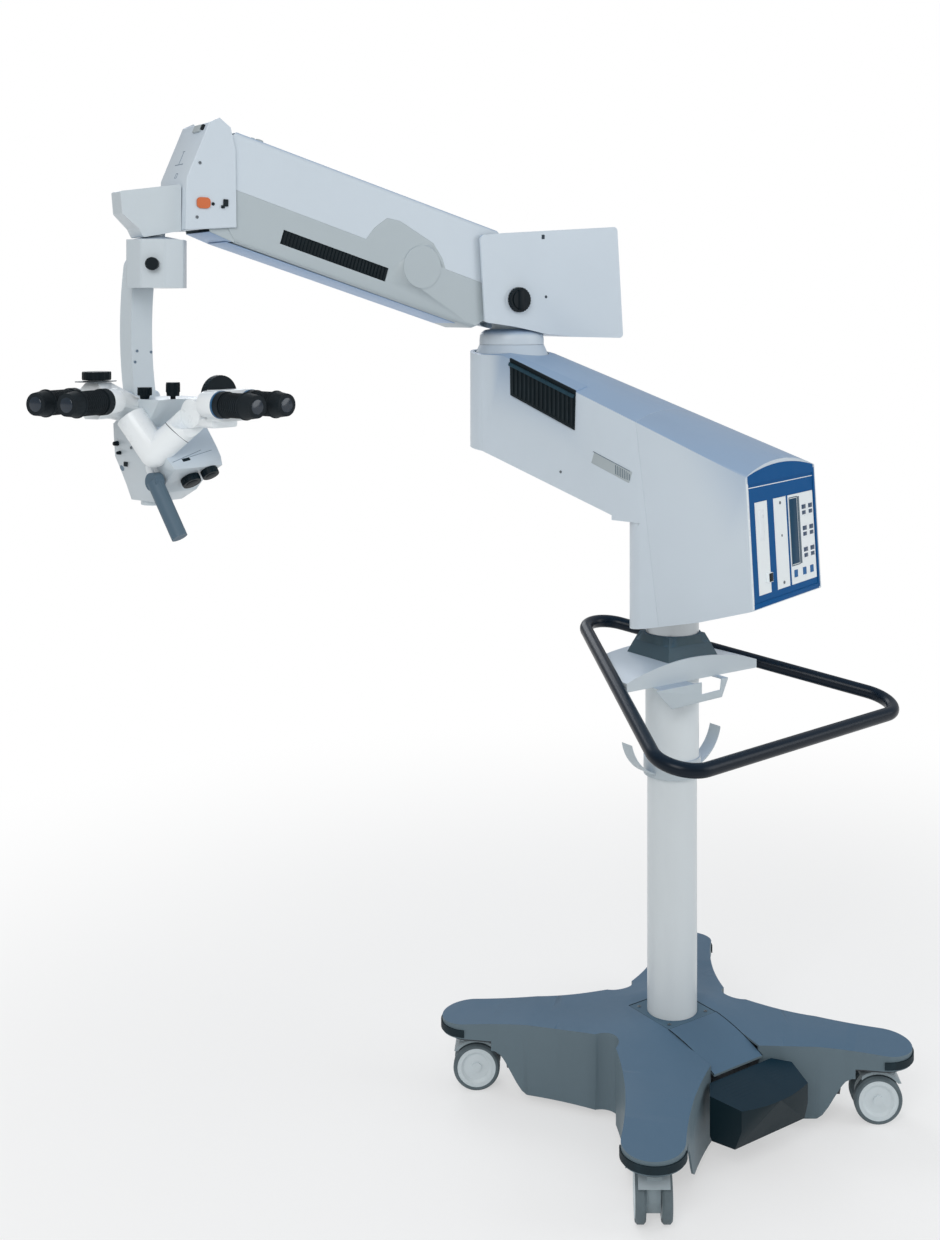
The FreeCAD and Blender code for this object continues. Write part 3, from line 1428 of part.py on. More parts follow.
def observer_knob():
    axis = turned_point(V(1, 0, 0), observer_heading)
    foot = observer_origin() + axis * 25 + up * (observer_radius + 5)
    rim = rod(26, foot + up * seat_gap, foot + up * 16)
    shaft = rod(small_shaft_radius, foot - up * 12, foot + up * 2)
    return fused([rim, shaft])


def hand_grip():
    """Handle that tips about a pin in the side of the head."""
    hub_low = grip_pivot + V(-seat_gap, 0, 0)
    hub_far = grip_pivot + V(-grip_hub_width, 0, 0)
    centre = (hub_low + hub_far) * 0.5
    pieces = [rod(grip_radius + 2, hub_low, hub_far), rod(grip_radius, centre, grip_end),
              rod(small_shaft_radius, grip_pivot + V(26, 0, 0), grip_pivot + V(-2, 0, 0))]
    return fused(pieces)


def place_head(shape):
    copy = turned(shape, head_heading)
    copy.translate(suspension)
    return copy


# Build and keep the nodes
keep("base_cover", base_cover())
keep("column_foot_plate", foot_plate())
keep("front_cover_plate", front_cover_plate())
keep("corner_bumpers", *[bumper(place) for place in castor_places.values()])
keep("base_chassis", base_chassis())
for corner_name, corner_place in castor_places.items():
    corner_heading = castor_headings[corner_name]
    keep("castor_fork_" + corner_name, moved(turned(castor_fork(), corner_heading), corner_place))
    keep("castor_wheels_" + corner_name,
         *[moved(turned(piece, corner_heading), corner_place) for piece in castor_wheels()])
keep("brake_pedal", brake_pedal())
keep("column_tube", tube(column_radius, column_radius - cover_wall, V(0, 0, column_foot), V(0, 0, column_top)))
keep("column_sleeve", tube(sleeve_radius, column_radius, V(0, 0, sleeve_bottom), V(0, 0, wing_crest - 8)))
keep("hook_clamp", hook_clamp())
keep("accessory_bracket", accessory_bracket())
keep("wing_plate", wing_plate())
keep("cone_cover", cone_cover())
keep("arm_bearing_collar", arm_bearing_collar())
keep("push_handle", push_handle(handle_tube_radius))
lower_arm_pieces()
keep("pivot_box_shell", pivot_box_shell())
keep("pivot_box_frame", pivot_box_frame())
keep("balance_knob", balance_knob())
keep("upper_link", upper_link())
keep("lower_link", link(rear_pin + drop, front_pin + drop, 18, lower_link_half_height, lower_link_half_width))
upper_cover, lower_cover = spring_arm_covers()
keep("spring_arm_upper_cover", upper_cover)
keep("spring_arm_lower_cover", lower_cover)
keep("front_housing", front_housing())
keep("suspension_bracket", suspension_bracket())
keep("release_button", release_button())
keep("swivel_knuckle", place_head(swivel_knuckle()))
keep("tilt_knob", place_head(tilt_knob()))
keep("carrier_arm", place_head(carrier_arm()))
keep("microscope_body", place_head(microscope_body()))
keep("objective_ring", place_head(objective_ring()))
for knob_name in head_knobs:
    keep(knob_name, place_head(head_knob(knob_name)))
keep("tube_lock_knob", place_head(top_knob(tube_lock_place, 8, 14, seat_gap, 22)))
keep("observer_lock_knob", place_head(top_knob(observer_lock_place, 12, 13, 6, 26)))
keep("main_tube", place_head(main_tube()))
keep("main_binocular", place_head(main_binocular()))
keep("main_eyepieces", *[place_head(piece) for piece in main_eyepieces()])
keep("interpupillary_knob", place_head(interpupillary_knob()))
keep("observer_tube", place_head(observer_tube()))
keep("observer_eyepieces", *[place_head(piece) for piece in eyepiece_pair(
    observer_origin(), observer_heading, observer_eyepiece_start, observer_eyepiece_end)])
keep("observer_knob", place_head(observer_knob()))
keep("hand_grip", place_head(hand_grip()))

os.makedirs("parts", exist_ok=True)
for node_name, node_shape in nodes.items():
    if not node_shape.isValid():
        print("not valid:", node_name)
    node_shape.exportStep("parts/" + node_name + ".step")
print(len(nodes), "nodes")
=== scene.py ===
import json
import math
import bmesh
import bpy
from mathutils import Matrix, Vector

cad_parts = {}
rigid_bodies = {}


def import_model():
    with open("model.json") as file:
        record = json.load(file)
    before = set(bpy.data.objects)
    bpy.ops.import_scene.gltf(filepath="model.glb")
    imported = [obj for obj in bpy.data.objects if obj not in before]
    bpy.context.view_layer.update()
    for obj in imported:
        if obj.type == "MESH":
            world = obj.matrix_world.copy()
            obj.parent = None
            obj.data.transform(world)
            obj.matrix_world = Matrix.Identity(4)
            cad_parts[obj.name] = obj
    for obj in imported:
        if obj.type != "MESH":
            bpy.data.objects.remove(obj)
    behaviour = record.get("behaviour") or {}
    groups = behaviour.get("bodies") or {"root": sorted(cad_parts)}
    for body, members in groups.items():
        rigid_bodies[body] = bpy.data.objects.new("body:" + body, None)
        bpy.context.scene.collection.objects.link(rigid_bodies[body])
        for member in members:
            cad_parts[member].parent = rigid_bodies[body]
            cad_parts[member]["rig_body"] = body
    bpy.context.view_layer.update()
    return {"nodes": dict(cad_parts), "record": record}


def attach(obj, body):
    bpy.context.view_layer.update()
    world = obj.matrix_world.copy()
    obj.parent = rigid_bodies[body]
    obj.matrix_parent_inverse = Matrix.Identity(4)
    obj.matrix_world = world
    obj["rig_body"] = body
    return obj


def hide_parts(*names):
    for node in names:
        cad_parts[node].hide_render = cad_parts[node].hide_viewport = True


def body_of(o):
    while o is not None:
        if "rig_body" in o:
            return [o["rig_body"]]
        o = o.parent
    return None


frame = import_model()
nodes = frame["nodes"]

# Places taken over from the construction, in millimetres and degrees
MM = 0.001
ARM_HEADING = 108.7
ARM_REACH = 428.0
ARM_HALF_WIDTH = 95.0
HEAD_HEADING = 16.0
PIVOT_X = -137.2
PIVOT_Y = 405.4
REAR_PIN_X = -235.0
REAR_PIN_HEIGHT = 1760.0
SUSPENSION_X = -980.1
RISE = 17.0
PANEL_BOTTOM_REACH = 273.0
PANEL_TOP_REACH = 257.0
PANEL_BOTTOM = 1097.0
PANEL_TOP = 1356.0
CREST_RISE = 18.0
ARM_SIDE_LEAN = 4.91
BOX_SIDE = PIVOT_Y - 75.0
FRONT_HALF = 68.0
FRONT_SIDE = PIVOT_Y - FRONT_HALF
COVER_SIDE = 62.0
CASTOR_REACH = 311.13
CASTORS = {"front_left": (-1, -1, 53.8), "front_right": (1, -1, 143.8),
           "rear_right": (1, 1, 233.8), "rear_left": (-1, 1, 323.8)}
CASTOR_TRAIL = 16.0
WHEEL_RADIUS = 50.0
DISC_RADIUS = 41.2
WELD_GAP = 0.00002
CREASE_ANGLE = 28.0


# Frames that turn local millimetres into the object's metres

def placed(origin, heading=0.0):
    """Frame at a place in millimetres, turned about Z."""
    place = Matrix.Translation(Vector(origin) * MM)
    return place @ Matrix.Rotation(math.radians(heading), 4, "Z") @ Matrix.Scale(MM, 4)


def along(x_axis, z_axis):
    """Turn that lays X and Z along two given directions."""
    x = Vector(x_axis).normalized()
    z = Vector(z_axis).normalized()
    y = z.cross(x)
    return Matrix((x, y, z)).transposed().to_4x4()


WORLD = placed((0, 0, 0))
ARM = placed((0, 0, 0), ARM_HEADING)
HEAD = placed((SUSPENSION_X, PIVOT_Y, 0), HEAD_HEADING)
SLOPE = math.radians(RISE)
SPRING = placed((REAR_PIN_X, PIVOT_Y, REAR_PIN_HEIGHT)) @ along(
    (-math.cos(SLOPE), 0, math.sin(SLOPE)), (math.sin(SLOPE), 0, math.cos(SLOPE)))


def arm_side(x):
    """Distance of the lower arm's side face from the arm's middle line."""
    lean = math.radians(ARM_SIDE_LEAN)
    return ARM_HALF_WIDTH / math.cos(lean) + (ARM_REACH - x) * math.tan(lean)


def panel_face(z):
    """Place of the leaning panel plate along the arm, at a height."""
    share = (z - PANEL_BOTTOM) / (PANEL_TOP - PANEL_BOTTOM)
    return -PANEL_BOTTOM_REACH + share * (PANEL_BOTTOM_REACH - PANEL_TOP_REACH)


# Shader building

WHITE_SIDE = (206, 217, 226)
# Painted shade: a darker, bluer copy of the white for faces that point up.
WHITE_TOP_PAINTED_SHADE = (152, 178, 208)
SLOT_DARK = (6, 22, 28)


def linear(colour):
    """A colour from 0 to 255 as the renderer's linear values."""
    values = []
    for part in colour:
        share = part / 255.0
        values.append(share / 12.92 if share <= 0.04045 else ((share + 0.055) / 1.055) ** 2.4)
    return (values[0], values[1], values[2], 1.0)


class Wire:
    """One output socket, which can be added and multiplied."""

    def __init__(self, recipe, socket):
        self.recipe = recipe
        self.socket = socket

    def maths(self, operation, *others):
        inputs = dict(enumerate((self,) + others))
        return self.recipe.add("ShaderNodeMath", {"operation": operation}, inputs)

    def __add__(self, other):
        return self.maths("ADD", other)

    def __mul__(self, other):
        return self.maths("MULTIPLY", other)

    __radd__ = __add__
    __rmul__ = __mul__

    def above(self, edge, softness):
        """Mask that goes from 0 to 1 as the value passes an edge."""
        return self.recipe.add("ShaderNodeMapRange", {"interpolation_type": "SMOOTHSTEP"}, {
            "Value": self, "From Min": edge - softness, "From Max": edge + softness,
            "To Min": 0.0, "To Max": 1.0})


class Recipe:
    """A material under construction."""

    def __init__(self, name):
        self.material = bpy.data.materials.new(name)
        self.material.use_nodes = True
        self.tree = self.material.node_tree
        self.tree.nodes.clear()
        self.coordinates = self.tree.nodes.new("ShaderNodeTexCoord")

    def add(self, kind, settings, inputs, output=0):
        node = self.tree.nodes.new(kind)
        for key, value in settings.items():
            setattr(node, key, value)
        for key, value in inputs.items():
            if isinstance(value, Wire):
                self.tree.links.new(value.socket, node.inputs[key])
            else:
                node.inputs[key].default_value = value
        return Wire(self, node.outputs[output])

    def position(self):
        return Wire(self, self.coordinates.outputs["Object"])

    def facing(self):
        return Wire(self, self.coordinates.outputs["Normal"])

    def parts(self, vector):
        split = self.tree.nodes.new("ShaderNodeSeparateXYZ")
        self.tree.links.new(vector.socket, split.inputs[0])
        return [Wire(self, output) for output in split.outputs]

    def stretched(self, scale):
        return self.add("ShaderNodeMapping", {}, {"Vector": self.position(), "Scale": scale})

    def noise(self, scale, detail=2.0, vector=None):
        inputs = {"Scale": scale, "Detail": detail, "Vector": vector or self.position()}
        return self.add("ShaderNodeTexNoise", {}, inputs)

    def speckle(self, scale):
        return self.add("ShaderNodeTexVoronoi", {}, {"Scale": scale, "Vector": self.position()})

    def mixed(self, share, first, second):
        """Blend of two colours, each a wire or a plain colour."""
        node = self.tree.nodes.new("ShaderNodeMix")
        node.data_type = "RGBA"
        values = {("Factor", "VALUE"): share, ("A", "RGBA"): first, ("B", "RGBA"): second}
        for socket in node.inputs:
            value = values.get((socket.name, socket.type))
            if isinstance(value, Wire):
                self.tree.links.new(value.socket, socket)
            elif value is not None:
                socket.default_value = value
        colours = [socket for socket in node.outputs if socket.type == "RGBA"]
        return Wire(self, colours[0])

    def bump(self, height, strength, distance):
        inputs = {"Strength": strength, "Distance": distance, "Height": height}
        return self.add("ShaderNodeBump", {}, inputs)

    def finish(self, colour, roughness, metallic=0.0, coat=0.0, specular=0.5, bump=None):
        shader = self.tree.nodes.new("ShaderNodeBsdfPrincipled")
        values = {"Base Color": colour, "Roughness": roughness, "Metallic": metallic,
                  "Coat Weight": coat, "Coat Roughness": 0.15, "Specular IOR Level": specular}
        if bump is not None:
            values["Normal"] = bump
        for key, value in values.items():
            if isinstance(value, Wire):
                self.tree.links.new(value.socket, shader.inputs[key])
            else:
                shader.inputs[key].default_value = value
        output = self.tree.nodes.new("ShaderNodeOutputMaterial")
        self.tree.links.new(shader.outputs[0], output.inputs["Surface"])
        return self.material


def shaded(recipe, colour, spread, scale=3.0):
    """A colour that drifts a little lighter and darker over the surface."""
    dark = tuple(part * (1.0 - spread) for part in linear(colour)[:3]) + (1.0,)
    light = tuple(min(1.0, part * (1.0 + spread)) for part in linear(colour)[:3]) + (1.0,)
    return recipe.mixed(recipe.noise(scale, 3.0), dark, light)


def moulded(name, side, top=None, rough=0.42, grain=0.10, coat=0.0, specular=0.35):
    """Moulded plastic or enamel: fine grain, faint drift, and a second colour where it faces up, which is
    painted light and shade.
    """
    recipe = Recipe(name)
    colour = shaded(recipe, side, 0.035)
    if top is not None:
        # Painted light and shade: faces that point up blend into the second colour.
        up = recipe.parts(recipe.facing())[2].above(0.55, 0.35)
        colour = recipe.mixed(up, colour, shaded(recipe, top, 0.03))
    handled = recipe.noise(11.0, 4.0).above(0.6, 0.12)
    fine = recipe.noise(1500.0, 2.0)
    roughness = recipe.noise(60.0, 3.0) * 0.08 + handled * 0.05 + (rough - 0.06)
    return recipe.finish(colour, roughness, coat=coat, specular=specular,
                         bump=recipe.bump(fine, grain, 0.0004))


def cast_paint(name, colour):
    """Painted casting with an uneven, pebbled skin."""
    recipe = Recipe(name)
    pebbles = recipe.noise(420.0, 3.0) + recipe.noise(90.0, 2.0) * 0.6
    tone = shaded(recipe, colour, 0.10, 14.0)
    return recipe.finish(tone, recipe.noise(200.0) * 0.15 + 0.5, bump=recipe.bump(pebbles, 0.35, 0.0008))


def metal(name, colour, rough):
    """Machined metal with fine upright lines left by the tool."""
    recipe = Recipe(name)
    lines = recipe.noise(1.0, 4.0, recipe.stretched((1800.0, 1800.0, 90.0)))
    tone = shaded(recipe, colour, 0.06, 9.0)
    return recipe.finish(tone, lines * 0.14 + rough, metallic=1.0, bump=recipe.bump(lines, 0.08, 0.0002))


def rubber(name, colour):
    """Soft dark rubber with a dusty bloom."""
    recipe = Recipe(name)
    bloom = recipe.noise(26.0, 5.0).above(0.58, 0.16)
    dusty = tuple(min(1.0, part * 1.9 + 0.006) for part in linear(colour)[:3]) + (1.0,)
    tone = recipe.mixed(bloom * 0.5, linear(colour), dusty)
    return recipe.finish(tone, recipe.noise(300.0) * 0.15 + 0.62, specular=0.3,
                         bump=recipe.bump(recipe.noise(1100.0), 0.2, 0.0004))


def wheel_finish(name, centre, axle):
    """Light disc inside a darker tyre, told apart by the distance from the axle."""
    recipe = Recipe(name)
    offset = recipe.add("ShaderNodeVectorMath", {"operation": "SUBTRACT"},
                        {0: recipe.position(), 1: centre})
    across = recipe.add("ShaderNodeVectorMath", {"operation": "CROSS_PRODUCT"}, {0: offset, 1: axle})
    reach = recipe.add("ShaderNodeVectorMath", {"operation": "LENGTH"}, {0: across}, output=1)
    tyre = reach.above(DISC_RADIUS * MM, 0.0002)
    scuffs = recipe.noise(35.0, 5.0).above(0.55, 0.2)
    disc = recipe.mixed(scuffs * 0.3, linear((214, 224, 228)), linear((196, 208, 212)))
    band = recipe.mixed(scuffs * 0.6, linear((96, 110, 116)), linear((74, 86, 92)))
    colour = recipe.mixed(tyre, disc, band)
    rough = tyre * 0.22 + recipe.noise(150.0) * 0.08 + 0.42
    return recipe.finish(colour, rough, bump=recipe.bump(recipe.noise(900.0), 0.1, 0.0003))


def grip_block_finish():
    """Dark rubber on the side, and the arm's own enamel, in its painted-shade top colour, on the narrow part
    that wraps over the top.
    """
    rubber_depth = 1.5
    recipe = Recipe("grip_block_rubber")
    lean = math.radians(ARM_SIDE_LEAN)
    heading = math.radians(ARM_HEADING)
    across = (-math.sin(heading) + math.cos(heading) * math.tan(lean),
              math.cos(heading) + math.sin(heading) * math.tan(lean), 0.0)
    reach = recipe.add("ShaderNodeVectorMath", {"operation": "DOT_PRODUCT"},
                       {0: recipe.position(), 1: across}, output=1)
    side = reach.above((arm_side(0.0) - rubber_depth) * MM, 0.0005)
    colour = recipe.mixed(side, linear(WHITE_TOP_PAINTED_SHADE), linear(SLOT_DARK))
    return recipe.finish(colour, recipe.noise(300.0) * 0.1 + 0.55, specular=0.2,
                         bump=recipe.bump(recipe.noise(900.0), 0.2, 0.0004))


def screen_glass(name):
    """Dark display under glass, with a faint field of unlit segments."""
    recipe = Recipe(name)
    cells = recipe.speckle(420.0).above(0.3, 0.2)
    colour = recipe.mixed(cells * 0.35, linear((10, 56, 84)), linear((14, 74, 104)))
    return recipe.finish(colour, recipe.noise(80.0) * 0.05 + 0.4, specular=0.12)


# Where a finish has a second colour for faces that point up, that colour is painted light and shade.
finishes = {
    "base_paint": moulded("base_enamel", (104, 121, 130), (84, 112, 136), rough=0.5, grain=0.14,
                          specular=0.2),
    "dark_plate": moulded("dark_plate_enamel", (70, 88, 96), (78, 106, 126), rough=0.5, grain=0.12,
                          specular=0.2),
    "cast": cast_paint("cast_iron_paint", (62, 68, 74)),
    "bumper_rubber": rubber("bumper_rubber", (14, 34, 42)),
    "castor_grey": moulded("castor_hood_nylon", (150, 164, 170), (170, 182, 188), rough=0.5, grain=0.16),
    "column_paint": moulded("column_enamel", (218, 225, 228), rough=0.36, grain=0.06),
    "white_metal": moulded("bracket_enamel", (186, 197, 203), (178, 194, 212), rough=0.38, grain=0.07),
    "white_plastic": moulded("housing_enamel", WHITE_SIDE, WHITE_TOP_PAINTED_SHADE, rough=0.40, grain=0.09),
    "handle_black": moulded("handle_enamel", (2, 18, 32), (4, 28, 46), rough=0.32, grain=0.08,
                            specular=0.22),
    "pedal_dark": moulded("pedal_plastic", (10, 32, 40), (12, 44, 60), rough=0.5, grain=0.25,
                          specular=0.2),
    "panel_blue": moulded("panel_blue_film", (14, 84, 142), rough=0.55, grain=0.05,
                          specular=0.08),
    "panel_white": moulded("panel_white_film", (236, 242, 244), rough=0.5, grain=0.05,
                           specular=0.15),
    "button_blue": moulded("button_blue_film", (50, 104, 158), rough=0.5, grain=0.05, specular=0.1),
    "knob_black": moulded("knob_plastic", (3, 18, 25), (10, 32, 42), rough=0.45, grain=0.16, specular=0.16),
    "eyecup": rubber("eyecup_rubber", (5, 18, 25)),
    "grip_grey": moulded("grip_rubber", (80, 102, 118), (92, 112, 126), rough=0.55, grain=0.2),
    "button_orange": moulded("release_button_film", (208, 112, 68), rough=0.35, grain=0.05),
    "machined": moulded("head_enamel", (200, 210, 216), (192, 206, 220), rough=0.34, grain=0.06, coat=0.1),
    "steel": metal("machined_steel", (172, 178, 182), 0.26),
}
bright_edge = moulded("bright_edge_enamel", (232, 238, 242), rough=0.3, grain=0.04)
seam_dark = rubber("seam_shadow", (52, 64, 74))
slot_dark = rubber("slot_dark", SLOT_DARK)
ledge_dark = rubber("ledge_dark", (24, 56, 70))
engraved = moulded("engraved_line", (120, 138, 154), rough=0.6, grain=0.05, specular=0.1)
vent_grey = moulded("vent_plastic", (172, 182, 186), rough=0.5)
frame_grey = moulded("frame_plastic", (96, 112, 124), rough=0.5, specular=0.15)
blue_ring = moulded("blue_ring_enamel", (38, 92, 132), rough=0.3, grain=0.05, coat=0.3)
screw_steel = metal("screw_steel", (120, 128, 134), 0.3)
lens_glass = moulded("lens_glass", (8, 30, 46), rough=0.12, grain=0.0, coat=0.4)
display_glass = screen_glass("display_glass")
key_mark = moulded("key_mark_film", (24, 60, 92), rough=0.3, grain=0.05)
cover_grey = moulded("lower_cover_enamel", (180, 191, 196), (186, 200, 212), rough=0.42)
# Painted shade: the blue-grey that down-facing faces take, laid on as colour.
underside_painted_shade = moulded("underside_shade_enamel", (158, 184, 216), rough=0.45)
internal_metal = metal("cast_aluminium", (150, 156, 160), 0.34)
slot_of_node = {row["node"]: row["material_slot"] for row in frame["record"]["subparts"]}
slot_of_finish = {finish.name: slot for slot, finish in finishes.items()}
slot_of_finish.update({
    bright_edge.name: "panel_white", key_mark.name: "button_blue", blue_ring.name: "panel_blue",
    seam_dark.name: "knob_black", slot_dark.name: "knob_black", ledge_dark.name: "knob_black",
    display_glass.name: "knob_black", lens_glass.name: "knob_black", engraved.name: "castor_grey",
    vent_grey.name: "castor_grey", frame_grey.name: "castor_grey", screw_steel.name: "steel",
    cover_grey.name: "white_plastic", underside_painted_shade.name: "white_plastic"})
INTERNAL = ("lower_arm_beam", "upper_link", "lower_link")
# Painted highlight: the tubes take a lighter copy of the head's enamel.
tube_painted_highlight = moulded("tube_highlight_enamel", (240, 245, 247), (234, 241, 247), rough=0.3, grain=0.05, coat=0.2)
OWN_FINISH = {
    "spring_arm_lower_cover": cover_grey,
    "arm_grip_block": grip_block_finish(),
    "balance_knob": finishes["knob_black"],
    "tilt_knob": finishes["knob_black"],
    "pivot_box_frame": finishes["white_metal"],
    "main_tube": tube_painted_highlight,
    "observer_tube": tube_painted_highlight,
    "main_binocular": tube_painted_highlight,
}
OWN_FINISH.update({node: internal_metal for node in INTERNAL})
WHEELS = "castor_wheels_"


def wheels_finish(corner):
    """Finish for the wheels at one corner, which follows their turned axle."""
    side_x, side_y, heading = CASTORS[corner]
    turn = math.radians(heading)
    centre = ((side_x * CASTOR_REACH + CASTOR_TRAIL * math.cos(turn)) * MM,
              (side_y * CASTOR_REACH + CASTOR_TRAIL * math.sin(turn)) * MM, WHEEL_RADIUS * MM)
    axle = (-math.sin(turn), math.cos(turn), 0.0)
    return wheel_finish("wheel_finish_" + WHEELS + corner, centre, axle)


def dress_nodes():
    """Give every construction node its finish and smooth shading."""
    for name, node in nodes.items():
        if name.startswith(WHEELS):
            finish = wheels_finish(name[len(WHEELS):])
        elif name in OWN_FINISH:
            finish = OWN_FINISH[name]
        else:
            finish = finishes[slot_of_node[name]]
        node.data.materials.clear()
        node.data.materials.append(finish)
        weld = node.modifiers.new("weld", "WELD")
        weld.merge_threshold = WELD_GAP
        split = node.modifiers.new("sharp edges", "EDGE_SPLIT")
        split.split_angle = math.radians(CREASE_ANGLE)
        node.data.polygons.foreach_set("use_smooth", [True] * len(node.data.polygons))


dress_nodes()


# Piece building, in a frame's own millimetres

SHARP_ANGLE = 32.0
SUNK = 0.3
PEG_SEGMENTS = 32
SCREW_SEGMENTS = 24
SCREW_HEIGHT = 1.2
RING_SEGMENTS = 48
RING_BITE = 0.6
RIB_SEGMENTS = 4


def keep_piece(name, bm, place, body, finish):
    """Make a named object of a bmesh and let it ride on a body."""
    bmesh.ops.transform(bm, matrix=place, verts=bm.verts)
    bmesh.ops.recalc_face_normals(bm, faces=bm.faces)
    mesh = bpy.data.meshes.new(name)
    bm.to_mesh(mesh)
    bm.free()
    mesh.shade_smooth()
    mesh.set_sharp_from_angle(angle=math.radians(SHARP_ANGLE))
    mesh.materials.append(finish)
    piece = bpy.data.objects.new(name, mesh)
    bpy.context.scene.collection.objects.link(piece)
    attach(piece, body)
    return piece


def join(bm, part):
    """Add a finished part to the piece under construction."""
    mesh = bpy.data.meshes.new("joined")
    part.to_mesh(mesh)
    part.free()
    bm.from_mesh(mesh)
    bpy.data.meshes.remove(mesh)


def toward(axis):
    """Turn that brings Z onto an axis."""
    return Vector((0, 0, 1)).rotation_difference(Vector(axis)).to_matrix().to_4x4()


def set_down(bm, part, base, axis):
    """Turn a part that was built along Z onto an axis, and join it at its base point."""
    bmesh.ops.transform(part, matrix=toward(axis), verts=part.verts)
    bmesh.ops.translate(part, vec=base, verts=part.verts)
    join(bm, part)


def bevelled(bm, edges, width, segments=2):
    bmesh.ops.bevel(bm, geom=edges, offset=width, segments=segments, affect="EDGES", profile=0.5,
                    material=-1, offset_type="OFFSET", clamp_overlap=True)


def upright(low_radius, high_radius, height, segments):
    """Closed cylinder or cone that stands on the origin."""
    part = bmesh.new()
    bmesh.ops.create_cone(part, cap_ends=True, segments=segments, radius1=low_radius, radius2=high_radius,
                          depth=height)
    bmesh.ops.translate(part, vec=(0, 0, height / 2), verts=part.verts)
    return part


def level_edges(part):
    """Edges that lie level, which are the rims of an upright round part."""
    return [edge for edge in part.edges if abs(edge.verts[0].co.z - edge.verts[1].co.z) < 1e-6]


def turned(bm, outline, segments):
    """Closed outline of radius and height points, spun round Z."""
    verts = [bm.verts.new((radius, 0, height)) for radius, height in outline]
    edges = [bm.edges.new((verts[i], verts[(i + 1) % len(verts)])) for i in range(len(verts))]
    bmesh.ops.spin(bm, geom=verts + edges, cent=(0, 0, 0), axis=(0, 0, 1), angle=2 * math.pi,
                   steps=segments, use_merge=True)


def add_box(bm, centre, size, edge=0.5, turn=None):
    """Box with softened edges, turned about its centre when a matrix is given."""
    part = bmesh.new()
    bmesh.ops.create_cube(part, size=1.0)
    bmesh.ops.scale(part, vec=size, verts=part.verts)
    bevelled(part, part.edges[:], edge)
    if turn is not None:
        bmesh.ops.transform(part, matrix=turn, verts=part.verts)
    bmesh.ops.translate(part, vec=centre, verts=part.verts)
    join(bm, part)


def add_bar(bm, start, end, up, width, thick):
    """Flat bar between two points of a face, with its broad side along that face."""
    start = Vector(start)
    end = Vector(end)
    length_way = (end - start).normalized()
    out = Vector(up).normalized()
    turn = Matrix((length_way, out.cross(length_way), out)).transposed().to_4x4()
    add_box(bm, (start + end) / 2, ((end - start).length, width, thick), min(width, thick) * 0.2, turn)


def add_slab(bm, near, far):
    """Closed piece between two outlines with the same number of points."""
    faces = [bm.faces.new([bm.verts.new(point) for point in outline]) for outline in (near, far)]
    bmesh.ops.bridge_loops(bm, edges=[edge for face in faces for edge in face.edges])


def add_round(bm, base, axis, low_radius, high_radius, height, edge=0.4):
    """Disc, cone or peg that stands on a base point along an axis."""
    part = upright(low_radius, high_radius, height, PEG_SEGMENTS)
    bevelled(part, level_edges(part), edge)
    set_down(bm, part, base, axis)


def add_ribbed(bm, base, axis, radius, height, ribs, depth):
    """Round piece with lengthwise ribs, like a fluted knob."""
    count = ribs * RIB_SEGMENTS
    part = upright(radius, radius, height, count)
    for vert in part.verts:
        angle = math.atan2(vert.co.y, vert.co.x)
        index = int(round(angle / (2 * math.pi) * count)) % RIB_SEGMENTS
        if index in (0, 1):
            vert.co.x *= 1 - depth / radius
            vert.co.y *= 1 - depth / radius
    bevelled(part, level_edges(part), depth * 0.6, 1)
    set_down(bm, part, base, axis)


def add_ring(bm, centre, axis, radius, width, proud, segments=RING_SEGMENTS):
    """Band round an axis: a flat ring with a softened outer edge."""
    part = bmesh.new()
    inner = radius - RING_BITE
    shoulder = radius + proud * 0.6
    outer = radius + proud
    outline = [(inner, -width / 2), (shoulder, -width / 2), (outer, -width / 4), (outer, width / 4),
               (shoulder, width / 2), (inner, width / 2)]
    turned(part, outline, segments)
    set_down(bm, part, centre, axis)


def add_screw(bm, base, axis, radius):
    """Low round head with a round socket."""
    part = upright(radius, radius, SCREW_HEIGHT, SCREW_SEGMENTS)
    top = max(part.faces, key=lambda face: face.calc_center_median().z)
    bmesh.ops.inset_region(part, faces=[top], thickness=radius * 0.22, depth=0.25)
    bmesh.ops.inset_region(part, faces=[top], thickness=radius * 0.28, depth=0.0)
    bmesh.ops.inset_region(part, faces=[top], thickness=0.05, depth=-0.9)
    set_down(bm, part, base, axis)


# Rounded copies of construction nodes

FLAT_ANGLE = 1.0
HARD_ANGLE = 25.0
PLATES_HALF_WIDTH = 90.0
PLATES_HALF_LENGTH = 270.0
LEG_CUTS = (66, 78, 90, 102, 114, 126, 140)
SKIRT_BOTTOM = 20.0
SKIRT_LIFT = 84.0


def big_enough(edge, least):
    """True where both faces of an edge are at least as large as the given area in square millimetres."""
    return min(face.calc_area() for face in edge.link_faces) > least * MM * MM


def softened(node, width, segments=2, least=0.0, lift=None, plain=None):
    """A copy of a construction node with its hard edges rounded, which then stands for it."""
    bm = bmesh.new()
    bm.from_mesh(nodes[node].data)
    bmesh.ops.remove_doubles(bm, verts=bm.verts, dist=WELD_GAP)
    bmesh.ops.dissolve_limit(bm, angle_limit=math.radians(FLAT_ANGLE), verts=bm.verts, edges=bm.edges)
    hard = [edge for edge in bm.edges
            if len(edge.link_faces) == 2 and edge.calc_face_angle(0.0) > math.radians(HARD_ANGLE)
            and edge.is_convex and big_enough(edge, least)]
    if plain is not None:
        hard = [edge for edge in hard if not plain((edge.verts[0].co + edge.verts[1].co) / 2)]
    bevelled(bm, hard, width * MM, segments)
    if lift is not None:
        lift(bm)
    body = body_of(nodes[node])[0]
    finish = nodes[node].data.materials[0]
    piece = keep_piece(node + "_finished", bm, Matrix.Identity(4), body, finish)
    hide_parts(node)


def near_plates(place):
    """True round the openings for the column foot and the front plate, which keep crisp edges."""
    return abs(place.x) < PLATES_HALF_WIDTH * MM and abs(place.y) < PLATES_HALF_LENGTH * MM


